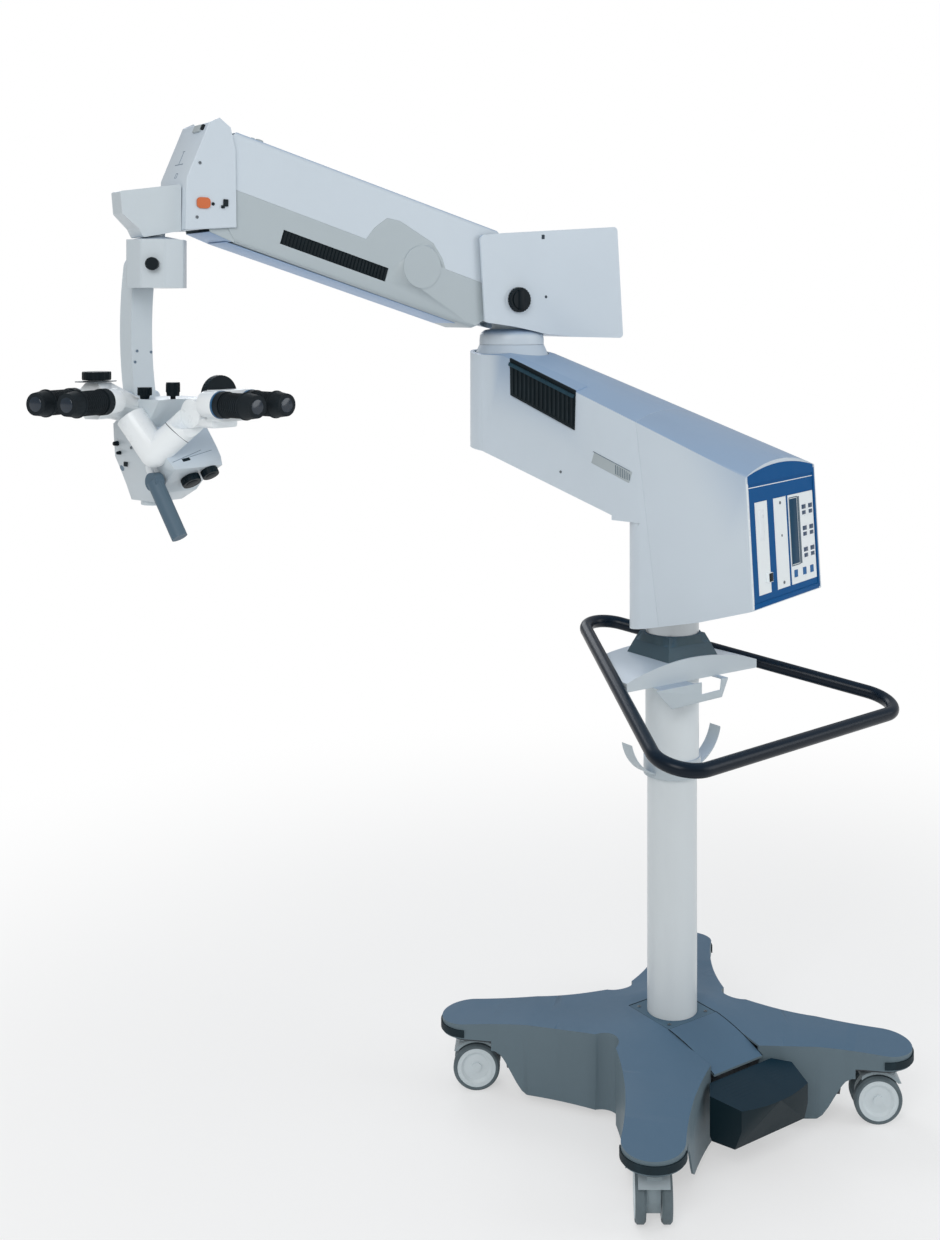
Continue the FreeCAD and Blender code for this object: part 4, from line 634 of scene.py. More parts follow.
def lift_skirt(bm):
    """Cut the base cover across its legs and raise the skirt's lower edge near the castors."""
    reach = CASTOR_REACH * math.sqrt(2.0)
    run = LEG_CUTS[-1] - LEG_CUTS[0]
    for corner in CASTORS.values():
        outward = Vector((corner[0], corner[1], 0)).normalized()
        for step in LEG_CUTS:
            geometry = bm.verts[:] + bm.edges[:] + bm.faces[:]
            bmesh.ops.bisect_plane(bm, geom=geometry, dist=1e-6, plane_co=outward * (reach - step) * MM,
                                   plane_no=outward)
        for vert in bm.verts:
            share = (vert.co.dot(outward) / MM - (reach - LEG_CUTS[-1])) / run
            share = max(0.0, min(1.0, share))
            low = (SKIRT_BOTTOM + SKIRT_LIFT * share * share * (3.0 - 2.0 * share)) * MM
            if share > 0.0 and vert.co.z < low:
                vert.co.z = low


# Control panel: places are across the panel and in height, sizes are deep, wide and tall

PANEL_GAP = 0.2
PANEL_TILT = Matrix.Rotation(
    math.atan2(PANEL_BOTTOM_REACH - PANEL_TOP_REACH, PANEL_TOP - PANEL_BOTTOM), 4, "Y")
PANEL_OUT = (-1, 0, 0.06)
KEY_COLUMNS = (-92.0, -123.0)
KEY_ROWS = (1268.0, 1224.0, 1180.0)
KEY_SIZE = (1.2, 25.0, 27.0)
MARK_RISE = 6.0
UPPER_MARK_SIZE = (0.5, 19.0, 9.0)
LOWER_MARK_SIZE = (0.5, 17.0, 8.0)
DISPLAY_Y = -46.0
DISPLAY_Z = 1229.0
DISPLAY_HEIGHT = 138.0
DISPLAY_WIDTH = 38.0
DISPLAY_SIDES = (-27.5, -65.0)
DISPLAY_BAR = 2.0
WINDOW_INSET = 2.5
SCALE_STRIP_Y = -70.5
SCALE_STRIP_WIDTH = 7.0
BORDER_Y = 148.5
BORDER_Z = 1222.0
BORDER_SIZE = (1.0, 6.0, 244.0)
CREASE_Z = 1334.0
CREASE_SIZE = (0.6, 284.0, 1.6)
STRIP_EDGES = (-14.0, 40.0)
STRIP_Z = 1213.0
STRIP_LINE_SIZE = (0.4, 1.0, 184.0)
CREST_HALF = 146.0
CREST_SPAN = 152.0
CREST_FOOT = 15.0
CREST_STEPS = 24
BOTTOM_BAND_Z = 1103.5
BOTTOM_BAND_SIZE = (1.0, 290.0, 10.0)
SIDE_BAND_Y = -146.5
SIDE_BAND_Z = 1226.0
SIDE_BAND_SIZE = (1.0, 8.0, 250.0)
STRIP_DOT_Y = 11.7
STRIP_DOT_Z = 1227.0
STRIP_SCREW_Y = 13.0
STRIP_SCREW_ROWS = (1293.0, 1133.0)
DOOR_WINDOW_Y = 95.0
DOOR_WINDOW_Z = 1258.0
DOOR_WINDOW_SIZE = (0.6, 20.0, 62.0)
DOOR_GRIP_Y = 79.0
DOOR_GRIP_Z = 1153.0
DOOR_GRIP_SIZE = (6.6, 17.0, 17.5)
GRIP_RIB_START = 1147.0
GRIP_RIB_PITCH = 4.0
GRIP_RIB_SIZE = (1.0, 14.0, 1.6)


def on_panel(y, z, out=0.0):
    """Place on the panel plate, in the arm's own millimetres."""
    return (panel_face(z) + PANEL_GAP - out, y, z)


def add_film(bm, y, z, out, size, edge):
    """Thin plate that lies on the panel."""
    add_box(bm, on_panel(y, z, out), size, edge, PANEL_TILT)


def panel_keys():
    """Six white keys with two blue fields on each."""
    keys = bmesh.new()
    marks = bmesh.new()
    for y in KEY_COLUMNS:
        for z in KEY_ROWS:
            add_film(keys, y, z, 0.2, KEY_SIZE, 0.5)
            add_film(marks, y, z + MARK_RISE, 0.7, UPPER_MARK_SIZE, 0.1)
            add_film(marks, y, z - MARK_RISE, 0.7, LOWER_MARK_SIZE, 0.1)
    keep_piece("panel_keys", keys, ARM, "lower_arm", bright_edge)
    keep_piece("panel_key_marks", marks, ARM, "lower_arm", key_mark)


def display():
    """Frame, side strip and dark window of the display."""
    surround = bmesh.new()
    for y in DISPLAY_SIDES:
        add_film(surround, y, DISPLAY_Z, 0.1, (1.0, DISPLAY_BAR, DISPLAY_HEIGHT), 0.3)
    for z in (DISPLAY_Z - DISPLAY_HEIGHT / 2, DISPLAY_Z + DISPLAY_HEIGHT / 2):
        add_film(surround, DISPLAY_Y, z, 0.1, (1.0, DISPLAY_WIDTH, DISPLAY_BAR), 0.3)
    add_film(surround, SCALE_STRIP_Y, DISPLAY_Z, 0.1, (0.7, SCALE_STRIP_WIDTH, DISPLAY_HEIGHT), 0.3)
    keep_piece("display_frame", surround, ARM, "lower_arm", frame_grey)
    glass = bmesh.new()
    window = (0.6, DISPLAY_WIDTH - 2 * WINDOW_INSET, DISPLAY_HEIGHT - 2 * WINDOW_INSET)
    add_film(glass, DISPLAY_Y, DISPLAY_Z, -0.2, window, 0.2)
    keep_piece("display_window", glass, ARM, "lower_arm", display_glass)


def panel_lines():
    """Bright border on the door's side, and the fine lines that part the fields."""
    border = bmesh.new()
    add_film(border, BORDER_Y, BORDER_Z, 0.1, BORDER_SIZE, 0.3)
    keep_piece("panel_bright_border", border, ARM, "lower_arm", bright_edge)
    lines = bmesh.new()
    add_film(lines, 0, CREASE_Z, -0.6, CREASE_SIZE, 0.1)
    for y in STRIP_EDGES:
        add_film(lines, y, STRIP_Z, -0.7, STRIP_LINE_SIZE, 0.1)
    keep_piece("panel_crease_lines", lines, ARM, "lower_arm", bright_edge)


def crest_outline(out):
    """Arched outline of the blue film over the panel's upper edge."""
    outline = []
    for index in range(CREST_STEPS + 1):
        y = CREST_HALF * (2 * index / CREST_STEPS - 1)
        outline.append(on_panel(y, PANEL_TOP + CREST_RISE * (1.0 - (y / CREST_SPAN) ** 2), out))
    foot = PANEL_TOP - CREST_FOOT
    return outline + [on_panel(CREST_HALF, foot, out), on_panel(-CREST_HALF, foot, out)]


def panel_crest():
    crest = bmesh.new()
    add_slab(crest, crest_outline(-0.2), crest_outline(0.7))
    add_film(crest, 0, BOTTOM_BAND_Z, 0.1, BOTTOM_BAND_SIZE, 0.2)
    add_film(crest, SIDE_BAND_Y, SIDE_BAND_Z, 0.1, SIDE_BAND_SIZE, 0.2)
    keep_piece("panel_crest", crest, ARM, "lower_arm", finishes["panel_blue"])


def panel_strip_screws():
    dots = bmesh.new()
    add_round(dots, on_panel(STRIP_DOT_Y, STRIP_DOT_Z), PANEL_OUT, 2.6, 2.2, 1.2)
    for z in STRIP_SCREW_ROWS:
        add_screw(dots, on_panel(STRIP_SCREW_Y, z), PANEL_OUT, 3.2)
    keep_piece("panel_strip_screws", dots, ARM, "lower_arm", screw_steel)


def panel_door():
    door = bmesh.new()
    add_film(door, DOOR_WINDOW_Y, DOOR_WINDOW_Z, 0.1, DOOR_WINDOW_SIZE, 0.2)
    keep_piece("door_window", door, ARM, "panel_door", bright_edge)
    handle = bmesh.new()
    for step in range(4):
        add_film(handle, DOOR_GRIP_Y, GRIP_RIB_START + GRIP_RIB_PITCH * step, 6.4, GRIP_RIB_SIZE, 0.3)
    add_film(handle, DOOR_GRIP_Y, DOOR_GRIP_Z, 3.2, DOOR_GRIP_SIZE, 1.2)
    keep_piece("door_handle_grip", handle, ARM, "panel_door", finishes["knob_black"])


# Lower arm: places are along the arm and in height

TOP_START = -PANEL_TOP_REACH
TOP_LOW = 1350.0
TOP_SLOPE = 0.356
TOP_ANGLE = 19.6
BLOCK_START = 171.0
BLOCK_LOW = 1433.0
BLOCK_SLOPE = 0.374
BLOCK_ANGLE = 20.5
RIB_START = 176.0
RIB_COUNT = 15
RIB_RUN = 170.0
RIB_SIZE = (5.2, 3.4)
LEDGE_COUNT = 12
LEDGE_PITCH = 15.4
LEDGE_SIZE = (16.5, 6.0, 8.0)
LIP_X = 262.0
LIP_Z = 1465.0
LIP_SIZE = (188.0, 3.0, 3.0)
VENT_X = 72.0
VENT_Z = 1354.0
VENT_SIZE = (106.0, 1.4, 25.0)
VENT_LINE_RISE = 12.8
VENT_LINE_SIZE = (104.0, 0.6, 1.2)
SLAT_START = 24.0
SLAT_PITCH = 4.6
SLAT_COUNT = 9
ARM_SCREW_X = 210.0
ARM_SCREW_Z = 1335.0


def side_turn(angle=0.0):
    """Turn for a flat piece on the arm's left side face."""
    lean = Matrix.Rotation(math.radians(-ARM_SIDE_LEAN), 4, "Z")
    return lean @ Matrix.Rotation(math.radians(-angle), 4, "Y")


def on_side(x, z, out):
    """Place on the arm's left side face."""
    return (x, arm_side(x) + out, z)


def block_bottom(x):
    return BLOCK_LOW + (x - BLOCK_START) * BLOCK_SLOPE


def arm_top(x):
    return TOP_LOW + (x - TOP_START) * TOP_SLOPE


def grip_block_ribs():
    ribs = bmesh.new()
    for index in range(RIB_COUNT):
        x = RIB_START + index * (RIB_RUN / (RIB_COUNT - 1))
        low = block_bottom(x)
        high = arm_top(x)
        size = (RIB_SIZE[0], RIB_SIZE[1], high - low - 2.0)
        add_box(ribs, on_side(x, 0.5 * (low + high), 3.6), size, 1.2, side_turn())
    keep_piece("arm_grip_ribs", ribs, ARM, "lower_arm", slot_dark)


def grip_block_edges():
    """Ledge along the block's top and lip along its bottom."""
    ledge = bmesh.new()
    for index in range(LEDGE_COUNT):
        x = RIB_START + index * LEDGE_PITCH
        place = (x + 2.0, arm_side(x + 2.0) + 4.6, arm_top(x) - 3.0)
        add_box(ledge, place, LEDGE_SIZE, 1.0, side_turn(TOP_ANGLE))
    keep_piece("arm_grip_ledge", ledge, ARM, "lower_arm", ledge_dark)
    lip = bmesh.new()
    add_box(lip, on_side(LIP_X, LIP_Z, 2.4), LIP_SIZE, 0.8, side_turn(BLOCK_ANGLE))
    keep_piece("arm_grip_lower_edge", lip, ARM, "lower_arm", slot_dark)


def side_vent():
    plate = bmesh.new()
    add_box(plate, on_side(VENT_X, VENT_Z, 0.2), VENT_SIZE, 0.6, side_turn(TOP_ANGLE))
    keep_piece("side_vent_plate", plate, ARM, "lower_arm", vent_grey)
    slats = bmesh.new()
    for index in range(SLAT_COUNT):
        x = SLAT_START + index * SLAT_PITCH
        z = VENT_Z + (x - VENT_X) * math.tan(math.radians(TOP_ANGLE))
        tall = 13.0 + min(index, 3) * 2.0
        add_box(slats, on_side(x, z, 1.0), (1.5, 0.8, tall), 0.2, side_turn())
    add_box(slats, on_side(VENT_X, VENT_Z + VENT_LINE_RISE, 0.9), VENT_LINE_SIZE, 0.1, side_turn(TOP_ANGLE))
    keep_piece("side_vent_slats", slats, ARM, "lower_arm", frame_grey)


def arm_screws():
    screws = bmesh.new()
    add_screw(screws, on_side(ARM_SCREW_X, ARM_SCREW_Z, -0.2), (0, 1, 0), 3.0)
    keep_piece("arm_screws", screws, ARM, "lower_arm", screw_steel)


# Spring arm: places are along the arm from its rear pin, across it and square to its slope

SLOT_MIDDLE = 379.0
SLOT_LEVEL = -80.0
SLOT_LENGTH = 256.0
SLOT_HEIGHT = 32.0
SLOT_RIB_START = 258.0
SLOT_RIB_PITCH = 8.1
SLOT_RIB_COUNT = 31
SLOT_RIB_SIZE = (3.0, 2.0, 28.5)
STRIP_MIDDLE = (330.0, 0.0, -125.6)
STRIP_SIZE = (560.0, 92.0, 1.6)
END_FLOOR_MIDDLE = (630.0, 0.0, -121.6)
END_FLOOR_SIZE = (50.0, 116.0, 1.6)
END_FLOOR_TILT = Matrix.Rotation(math.radians(-4.0), 4, "Y")
CHEEK_OUTLINE = ((600.0, -124.0), (654.0, -119.5), (668.0, -94.0), (600.0, -94.0))
CHEEK_INSIDE = 58.6
CHEEK_OUTSIDE = 60.6
COVER_SCREWS = ((145.0, -48.0), (168.0, -78.0))
TOP_NUBS = (((596.0, 30.0, 89.5), 11.0, 8.0, 8.0, 1.5), ((612.0, 34.0, 88.5), 5.0, 4.0, 7.0, 1.0))


def spring_arm_slot():
    insert = bmesh.new()
    add_box(insert, (SLOT_MIDDLE, COVER_SIDE - 3.4, SLOT_LEVEL), (SLOT_LENGTH, 2.0, SLOT_HEIGHT), 0.2)
    keep_piece("spring_arm_slot_insert", insert, SPRING, "spring_arm", slot_dark)
    ribs = bmesh.new()
    for index in range(SLOT_RIB_COUNT):
        x = SLOT_RIB_START + index * SLOT_RIB_PITCH
        add_box(ribs, (x, COVER_SIDE - 1.8, SLOT_LEVEL), SLOT_RIB_SIZE, 0.5)
    keep_piece("spring_arm_slot_ribs", ribs, SPRING, "spring_arm", finishes["knob_black"])


def spring_arm_underside():
    """Strip below the arm in a blue-grey that is painted shade, and the cheeks and floor that close its front
    end, the floor in the same painted shade.
    """
    strip = bmesh.new()
    add_box(strip, STRIP_MIDDLE, STRIP_SIZE, 0.5)
    keep_piece("spring_arm_underside_strip", strip, SPRING, "spring_arm", underside_painted_shade)
    cheeks = bmesh.new()
    for side in (-1, 1):
        inside = [(x, side * CHEEK_INSIDE, z) for x, z in CHEEK_OUTLINE]
        outside = [(x, side * CHEEK_OUTSIDE, z) for x, z in CHEEK_OUTLINE]
        add_slab(cheeks, inside, outside)
    keep_piece("spring_arm_end_cheeks", cheeks, SPRING, "spring_arm", cover_grey)
    end = bmesh.new()
    add_box(end, END_FLOOR_MIDDLE, END_FLOOR_SIZE, 0.3, END_FLOOR_TILT)
    keep_piece("spring_arm_end_floor", end, SPRING, "spring_arm", underside_painted_shade)


def spring_arm_fittings():
    screws = bmesh.new()
    for x, z in COVER_SCREWS:
        for side in (1, -1):
            add_screw(screws, (x, side * (COVER_SIDE - SUNK), z), (0, side, 0), 3.4)
    keep_piece("spring_arm_screws", screws, SPRING, "spring_arm", screw_steel)
    nub = bmesh.new()
    for base, low_radius, high_radius, height, edge in TOP_NUBS:
        add_round(nub, base, (0, 0, 1), low_radius, high_radius, height, edge)
    keep_piece("spring_arm_top_nub", nub, SPRING, "spring_arm", vent_grey)


# Front housing: the pairs are x and height

HOUSING_SCREWS = ((-925.0, 1864.0), (-919.0, 1970.0))
SLANT_OUT = (-0.923, 0.0, 0.385)
CROSS_TOP = (-922.1, 1997.6)
CROSS_FOOT = (-933.4, 1970.9)
CROSS_Y = 410.0
CROSS_HALF = 6.0
BASE_LINE_Y = 408.0
BASE_LINE_HALF = 20.0
FIELD_TOP = (-941.2, 1951.9)
FIELD_FOOT = (-944.9, 1943.1)
FIELD_SIDES = (394.0, 403.0)
SIDE_CATCH = (-866.0, 1894.0)
SIDE_CATCH_SIZE = (10.0, 4.0, 14.0)
CATCH_TONGUE = (-872.0, 1886.0)
CATCH_TONGUE_SIZE = (7.0, 4.4, 6.0)
SIDE_PEG = (-892.0, 1891.0)
TOP_CATCH = ((-907.3, 2033.2), (-901.1, 2048.0))
TOP_CATCH_Y = 381.4
TOP_LATCH = ((-906.0, 2036.3), (-901.6, 2046.8))
TOP_LATCH_Y = 356.0


def add_slant_bar(bm, start, end, start_y, end_y, width, thick=0.8):
    """Flat bar on the housing's slanted front face."""
    add_bar(bm, (start[0], start_y, start[1]), (end[0], end_y, end[1]), SLANT_OUT, width, thick)


def front_side_fittings():
    screws = bmesh.new()
    for x, z in HOUSING_SCREWS:
        for side in (-1, 1):
            add_screw(screws, (x, PIVOT_Y + side * (FRONT_HALF - SUNK), z), (0, side, 0), 3.2)
    keep_piece("front_housing_screws", screws, WORLD, "front_head", screw_steel)
    catch = bmesh.new()
    add_box(catch, (SIDE_CATCH[0], FRONT_SIDE - 1.2, SIDE_CATCH[1]), SIDE_CATCH_SIZE, 1.2)
    add_box(catch, (CATCH_TONGUE[0], FRONT_SIDE - 1.4, CATCH_TONGUE[1]), CATCH_TONGUE_SIZE, 1.0)
    add_round(catch, (SIDE_PEG[0], FRONT_SIDE + 0.4, SIDE_PEG[1]), (0, -1, 0), 3.5, 3.0, 2.4, 0.5)
    keep_piece("front_housing_catch", catch, WORLD, "front_head", slot_dark)


def front_engraving():
    """Plain lines on the slanted face: an upright with a short head and a long foot, and an empty field."""
    marks = bmesh.new()
    add_slant_bar(marks, CROSS_TOP, CROSS_FOOT, CROSS_Y, CROSS_Y, 1.4)
    add_slant_bar(marks, CROSS_TOP, CROSS_TOP, CROSS_Y - CROSS_HALF, CROSS_Y + CROSS_HALF, 1.4)
    add_slant_bar(marks, CROSS_FOOT, CROSS_FOOT, BASE_LINE_Y - BASE_LINE_HALF, BASE_LINE_Y + BASE_LINE_HALF,
                  1.4)
    for y in FIELD_SIDES:
        add_slant_bar(marks, FIELD_TOP, FIELD_FOOT, y, y, 1.2)
    for end in (FIELD_TOP, FIELD_FOOT):
        add_slant_bar(marks, end, end, FIELD_SIDES[0], FIELD_SIDES[1], 1.2)
    keep_piece("front_housing_engraving", marks, WORLD, "front_head", engraved)


def front_top_fittings():
    catch = bmesh.new()
    add_slant_bar(catch, TOP_CATCH[0], TOP_CATCH[1], TOP_CATCH_Y, TOP_CATCH_Y, 34.0, 9.0)
    keep_piece("front_housing_top_catch", catch, WORLD, "front_head", vent_grey)
    latch = bmesh.new()
    add_slant_bar(latch, TOP_LATCH[0], TOP_LATCH[1], TOP_LATCH_Y, TOP_LATCH_Y, 9.0, 10.0)
    keep_piece("front_housing_top_latch", latch, WORLD, "front_head", slot_dark)


# Pivot box

PEG_X = -94.0
PEG_HEIGHT = 1713.0
SQUARE_MARK_X = -102.0
SQUARE_MARK_HEIGHT = 1849.0
SQUARE_MARK_SIZE = (8.0, 1.4, 10.0)
KNOB_X = -171.5
KNOB_HEIGHT = 1706.0
KNOB_SEAT_RADIUS = 29.0
KNOB_RADIUS = 28.0
KNOB_RIBS = 26
KNOB_BAR_SIZE = (15.0, 7.0, 44.0)
SLEEVE_SEGMENTS = 72
SLEEVE_OUTLINE = ((74.0, 1604.7), (73.8, 1616.0), (72.6, 1625.0), (69.0, 1632.0), (62.0, 1637.0),
                  (47.5, 1640.0), (47.5, 1637.0), (61.0, 1634.0), (67.0, 1629.5), (70.2, 1622.0),
                  (72.5, 1611.2), (72.5, 1604.7))


def pivot_box_marks():
    marks = bmesh.new()
    add_round(marks, (PEG_X, BOX_SIDE + SUNK, PEG_HEIGHT), (0, -1, 0), 3.6, 3.0, 1.6, 0.5)
    add_box(marks, (SQUARE_MARK_X, BOX_SIDE - 0.2, SQUARE_MARK_HEIGHT), SQUARE_MARK_SIZE, 0.5)
    keep_piece("pivot_box_marks", marks, WORLD, "pivot_box", seam_dark)


def balance_knob_details():
    """Raised seat round the knob, its flutes and the bar across its face."""
    seat = bmesh.new()
    add_ring(seat, (KNOB_X, BOX_SIDE - 0.6, KNOB_HEIGHT), (0, -1, 0), KNOB_SEAT_RADIUS, 1.4, 2.0)
    keep_piece("balance_knob_seat", seat, WORLD, "pivot_box", finishes["white_plastic"])
    flutes = bmesh.new()
    add_ribbed(flutes, (KNOB_X, BOX_SIDE - 1.6, KNOB_HEIGHT), (0, -1, 0), KNOB_RADIUS, 10.5, KNOB_RIBS, 1.0)
    add_box(flutes, (KNOB_X, BOX_SIDE - 12.6, KNOB_HEIGHT), KNOB_BAR_SIZE, 2.0)
    keep_piece("balance_knob_flutes", flutes, WORLD, "balance_knob", finishes["knob_black"])


def neck_sleeve():
    """White bell that hides the spindle between the lower arm and the pivot box."""
    sleeve = bmesh.new()
    turned(sleeve, SLEEVE_OUTLINE, SLEEVE_SEGMENTS)
    keep_piece("neck_sleeve", sleeve, placed((PIVOT_X, PIVOT_Y, 0)), "pivot_box", finishes["white_plastic"])


# Head

HEAD_SCREWS = (((-66.2, -21.0, 1441.0), (-1, 0, 0), 4.0), ((-65.0, -8.0, 1418.0), (-1, 0, 0), 3.0),
               ((0.0, 48.2, 1400.0), (0, 1, 0), 3.5), ((0.0, 48.2, 1455.0), (0, 1, 0), 3.5))
SIDE_SLOTS = (((-66.6, 1.0, 1450.0), (1.6, 9.0, 16.0), 0.5), ((-58.5, 19.0, 1384.0), (1.6, 12.0, 9.0), 0.6))
SIDE_STUBS = (((-64.0, 36.0, 1424.0), 5.0, 10.0), ((-62.0, 30.0, 1406.0), 4.0, 9.0))
CHIN_LINES = (((-54.0, -119.6, 1395.9), (23.3, -106.1, 1412.7)),
              ((-10.4, -114.4, 1402.3), (47.8, -107.5, 1410.9)))
SIDE_CIRCLE = (-52.4, 38.9, 1374.8)
SCALE_WINDOW = ((-30.0, -118.4, 1397.4), (-12.0, -116.8, 1399.4))
CHIN_OUT = (0.0, -0.78, 0.63)
SIDE_OUT = (-0.95, 0.0, -0.32)
HUB = (-52.6, -58.0, 1378.0)
HUB_FACETS = (25.0, 145.0, 265.0)
HUB_FACET_REACH = 11.0
CARRIER_SCREWS = ((-11.9, 46.8, 1602.0), (-17.8, 45.1, 1580.5), (21.2, 46.6, 1599.3))
TUBE_JOINT = (-40.5, -115.3, 1451.0)
TUBE_AXIS = (0.521, -0.431, 0.737)
TUBE_RADIUS = 28.0
EYEPIECE_SIDES = (-35.0, 35.0)
EYEPIECE_HEIGHT = 1508.0
EYEPIECE_RADIUS = 25.0
CUP_RADIUS = 22.0
CUP_RIM_RADIUS = 24.6
LENS_RADIUS = 14.0
CUP_SEGMENTS = 36
BLUE_RING_Y = -238.0
# First rib, pitch, count of ribs, rim and lens, as distances along an eyepiece
MAIN_CUP = (258.0, 5.2, 9, 309.0, 338.2)
OBSERVER_CUP = (66.0, 5.4, 10, 123.0, 150.2)
OBSERVER_FOOT = (-118.0, 0.0, 1512.0)
OBSERVER_HEADING = 196.0
OBSERVER_PLATE_REACH = 27.0
OBSERVER_PLATE_RISE = 36.6
OBSERVER_PLATE_SIZE = (64.0, 46.0, 2.0)
OBSERVER_KNOB_REACH = 25.0
OBSERVER_KNOB_RISE = 40.2
OBSERVER_KNOB_RADIUS = 26.6
CHIN_KNOBS = (("focus_knob", (1.0, -100.0), 18.0), ("zoom_knob", (31.0, -119.0), 16.0))
LOCK_KNOBS = (("tube_lock_knob", (-52.0, -32.0, 1519.0), 13.6, 13.0),
              ("observer_lock_knob", (-18.0, -74.0, 1525.0), 13.4, 17.0))
DISC_PLACE = (0.0, -193.6, 1522.0)
DISC_RIM_RADIUS = 38.5
CHIN_START = -130.0
CHIN_RUN = 46.0
CHIN_HEIGHT = 1383.0
CHIN_DROP = 33.0


def head_fittings():
    """Screws, slots and stubs on the head's sides."""
    screws = bmesh.new()
    for place, axis, radius in HEAD_SCREWS:
        add_screw(screws, place, axis, radius)
    keep_piece("head_screws", screws, HEAD, "microscope", screw_steel)
    slots = bmesh.new()
    for centre, size, edge in SIDE_SLOTS:
        add_box(slots, centre, size, edge)
    keep_piece("head_side_slots", slots, HEAD, "microscope", slot_dark)
    stubs = bmesh.new()
    for base, radius, length in SIDE_STUBS:
        add_round(stubs, base, (-1, 0, 0), radius, radius - 1.0, length, 0.8)
    keep_piece("head_side_stubs", stubs, HEAD, "microscope", finishes["knob_black"])


def head_marks():
    """Engraved lines and a dark scale window on the chin, and a circle on the side."""
    lines = bmesh.new()
    for start, end in CHIN_LINES:
        add_bar(lines, start, end, CHIN_OUT, 1.0, 0.8)
    add_round(lines, SIDE_CIRCLE, SIDE_OUT, 6.0, 5.4, 1.0, 0.3)
    keep_piece("head_engraved_lines", lines, HEAD, "microscope", engraved)
    window = bmesh.new()
    add_bar(window, SCALE_WINDOW[0], SCALE_WINDOW[1], CHIN_OUT, 6.5, 1.6)
    keep_piece("head_scale_window", window, HEAD, "microscope", finishes["knob_black"])


def grip_hub():
    """Stepped boss where the hand grip is held, with three dark facets."""
    hub = Vector(HUB)
    out = Vector(SIDE_OUT)
    boss = bmesh.new()
    add_round(boss, hub - out, out, 19.0, 16.0, 6.0, 1.4)
    add_round(boss, hub + out * 5.0, out, 10.0, 8.5, 3.0, 0.8)
    keep_piece("grip_hub_boss", boss, HEAD, "microscope", bright_edge)
    facets = bmesh.new()
    for angle in HUB_FACETS:
        turn = Matrix.Rotation(math.radians(angle), 4, "X")
        middle = hub + out * 4.4 + turn @ Vector((0.0, HUB_FACET_REACH, 0.0))
        along_facet = turn @ Vector((0.0, 0.0, 3.0))
        add_bar(facets, middle - along_facet, middle + along_facet, out, 3.6, 1.4)
    keep_piece("grip_hub_facets", facets, HEAD, "microscope", slot_dark)


def carrier_fittings():
    fixings = bmesh.new()
    for place in CARRIER_SCREWS:
        add_screw(fixings, place, (0, -1, 0.08), 2.8)
    keep_piece("carrier_screws", fixings, HEAD, "carrier", engraved)


def add_cup(ribs, lenses, start, axis, first, pitch, count, rim, lens):
    """Ribbed rubber cup of an eyepiece with its rim and lens, at distances from the tube's start."""
    for step in range(count):
        add_ring(ribs, start + axis * (first + step * pitch), axis, CUP_RADIUS, 2.6, 1.3, CUP_SEGMENTS)
    add_ring(ribs, start + axis * rim, axis, CUP_RIM_RADIUS, 3.0, 1.4, CUP_SEGMENTS)
    add_round(lenses, start + axis * lens, axis, LENS_RADIUS, LENS_RADIUS - 1.0, 0.8, 0.2)


def main_eyepieces():
    """Seam on the main tube, blue rings and rubber cups of the main eyepieces."""
    seam = bmesh.new()
    add_ring(seam, TUBE_JOINT, TUBE_AXIS, TUBE_RADIUS, 1.4, 0.5)
    keep_piece("main_tube_seam", seam, HEAD, "microscope", seam_dark)
    blue = bmesh.new()
    ribs = bmesh.new()
    lenses = bmesh.new()
    for side in EYEPIECE_SIDES:
        add_ring(blue, (side, BLUE_RING_Y, EYEPIECE_HEIGHT), (0, 1, 0), EYEPIECE_RADIUS, 5.0, 1.2)
        start = Vector((side, 0.0, EYEPIECE_HEIGHT))
        add_cup(ribs, lenses, start, Vector((0.0, -1.0, 0.0)), *MAIN_CUP)
    keep_piece("main_eyepiece_rings", blue, HEAD, "binocular", blue_ring)
    keep_piece("main_eyepiece_ribs", ribs, HEAD, "binocular", finishes["eyecup"])
    keep_piece("main_eyepiece_lenses", lenses, HEAD, "binocular", lens_glass)


def observer_details():
    turn = math.radians(OBSERVER_HEADING)
    axis = Vector((math.cos(turn), math.sin(turn), 0.0))
    across = Vector((-math.sin(turn), math.cos(turn), 0.0))
    foot = Vector(OBSERVER_FOOT)
    ribs = bmesh.new()
    lenses = bmesh.new()
    for side in EYEPIECE_SIDES:
        add_cup(ribs, lenses, foot + across * side, axis, *OBSERVER_CUP)
    keep_piece("observer_eyepiece_ribs", ribs, HEAD, "microscope", finishes["eyecup"])
    keep_piece("observer_eyepiece_lenses", lenses, HEAD, "microscope", lens_glass)
    plate = bmesh.new()
    place = foot + axis * OBSERVER_PLATE_REACH + Vector((0, 0, OBSERVER_PLATE_RISE))
    add_box(plate, place, OBSERVER_PLATE_SIZE, 0.8, Matrix.Rotation(turn, 4, "Z"))
    keep_piece("observer_metal_plate", plate, HEAD, "microscope", screw_steel)
    knob = bmesh.new()
    place = foot + axis * OBSERVER_KNOB_REACH + Vector((0, 0, OBSERVER_KNOB_RISE))
    add_ribbed(knob, place, (0, 0, 1), OBSERVER_KNOB_RADIUS, 14.0, 24, 1.4)
    keep_piece("observer_knob_flutes", knob, HEAD, "observer_knob", finishes["knob_black"])


def on_chin(x, y):
    """Place on the chin, which slopes down towards the back."""
    return Vector((x, y, CHIN_HEIGHT - CHIN_DROP * (y - CHIN_START) / CHIN_RUN))


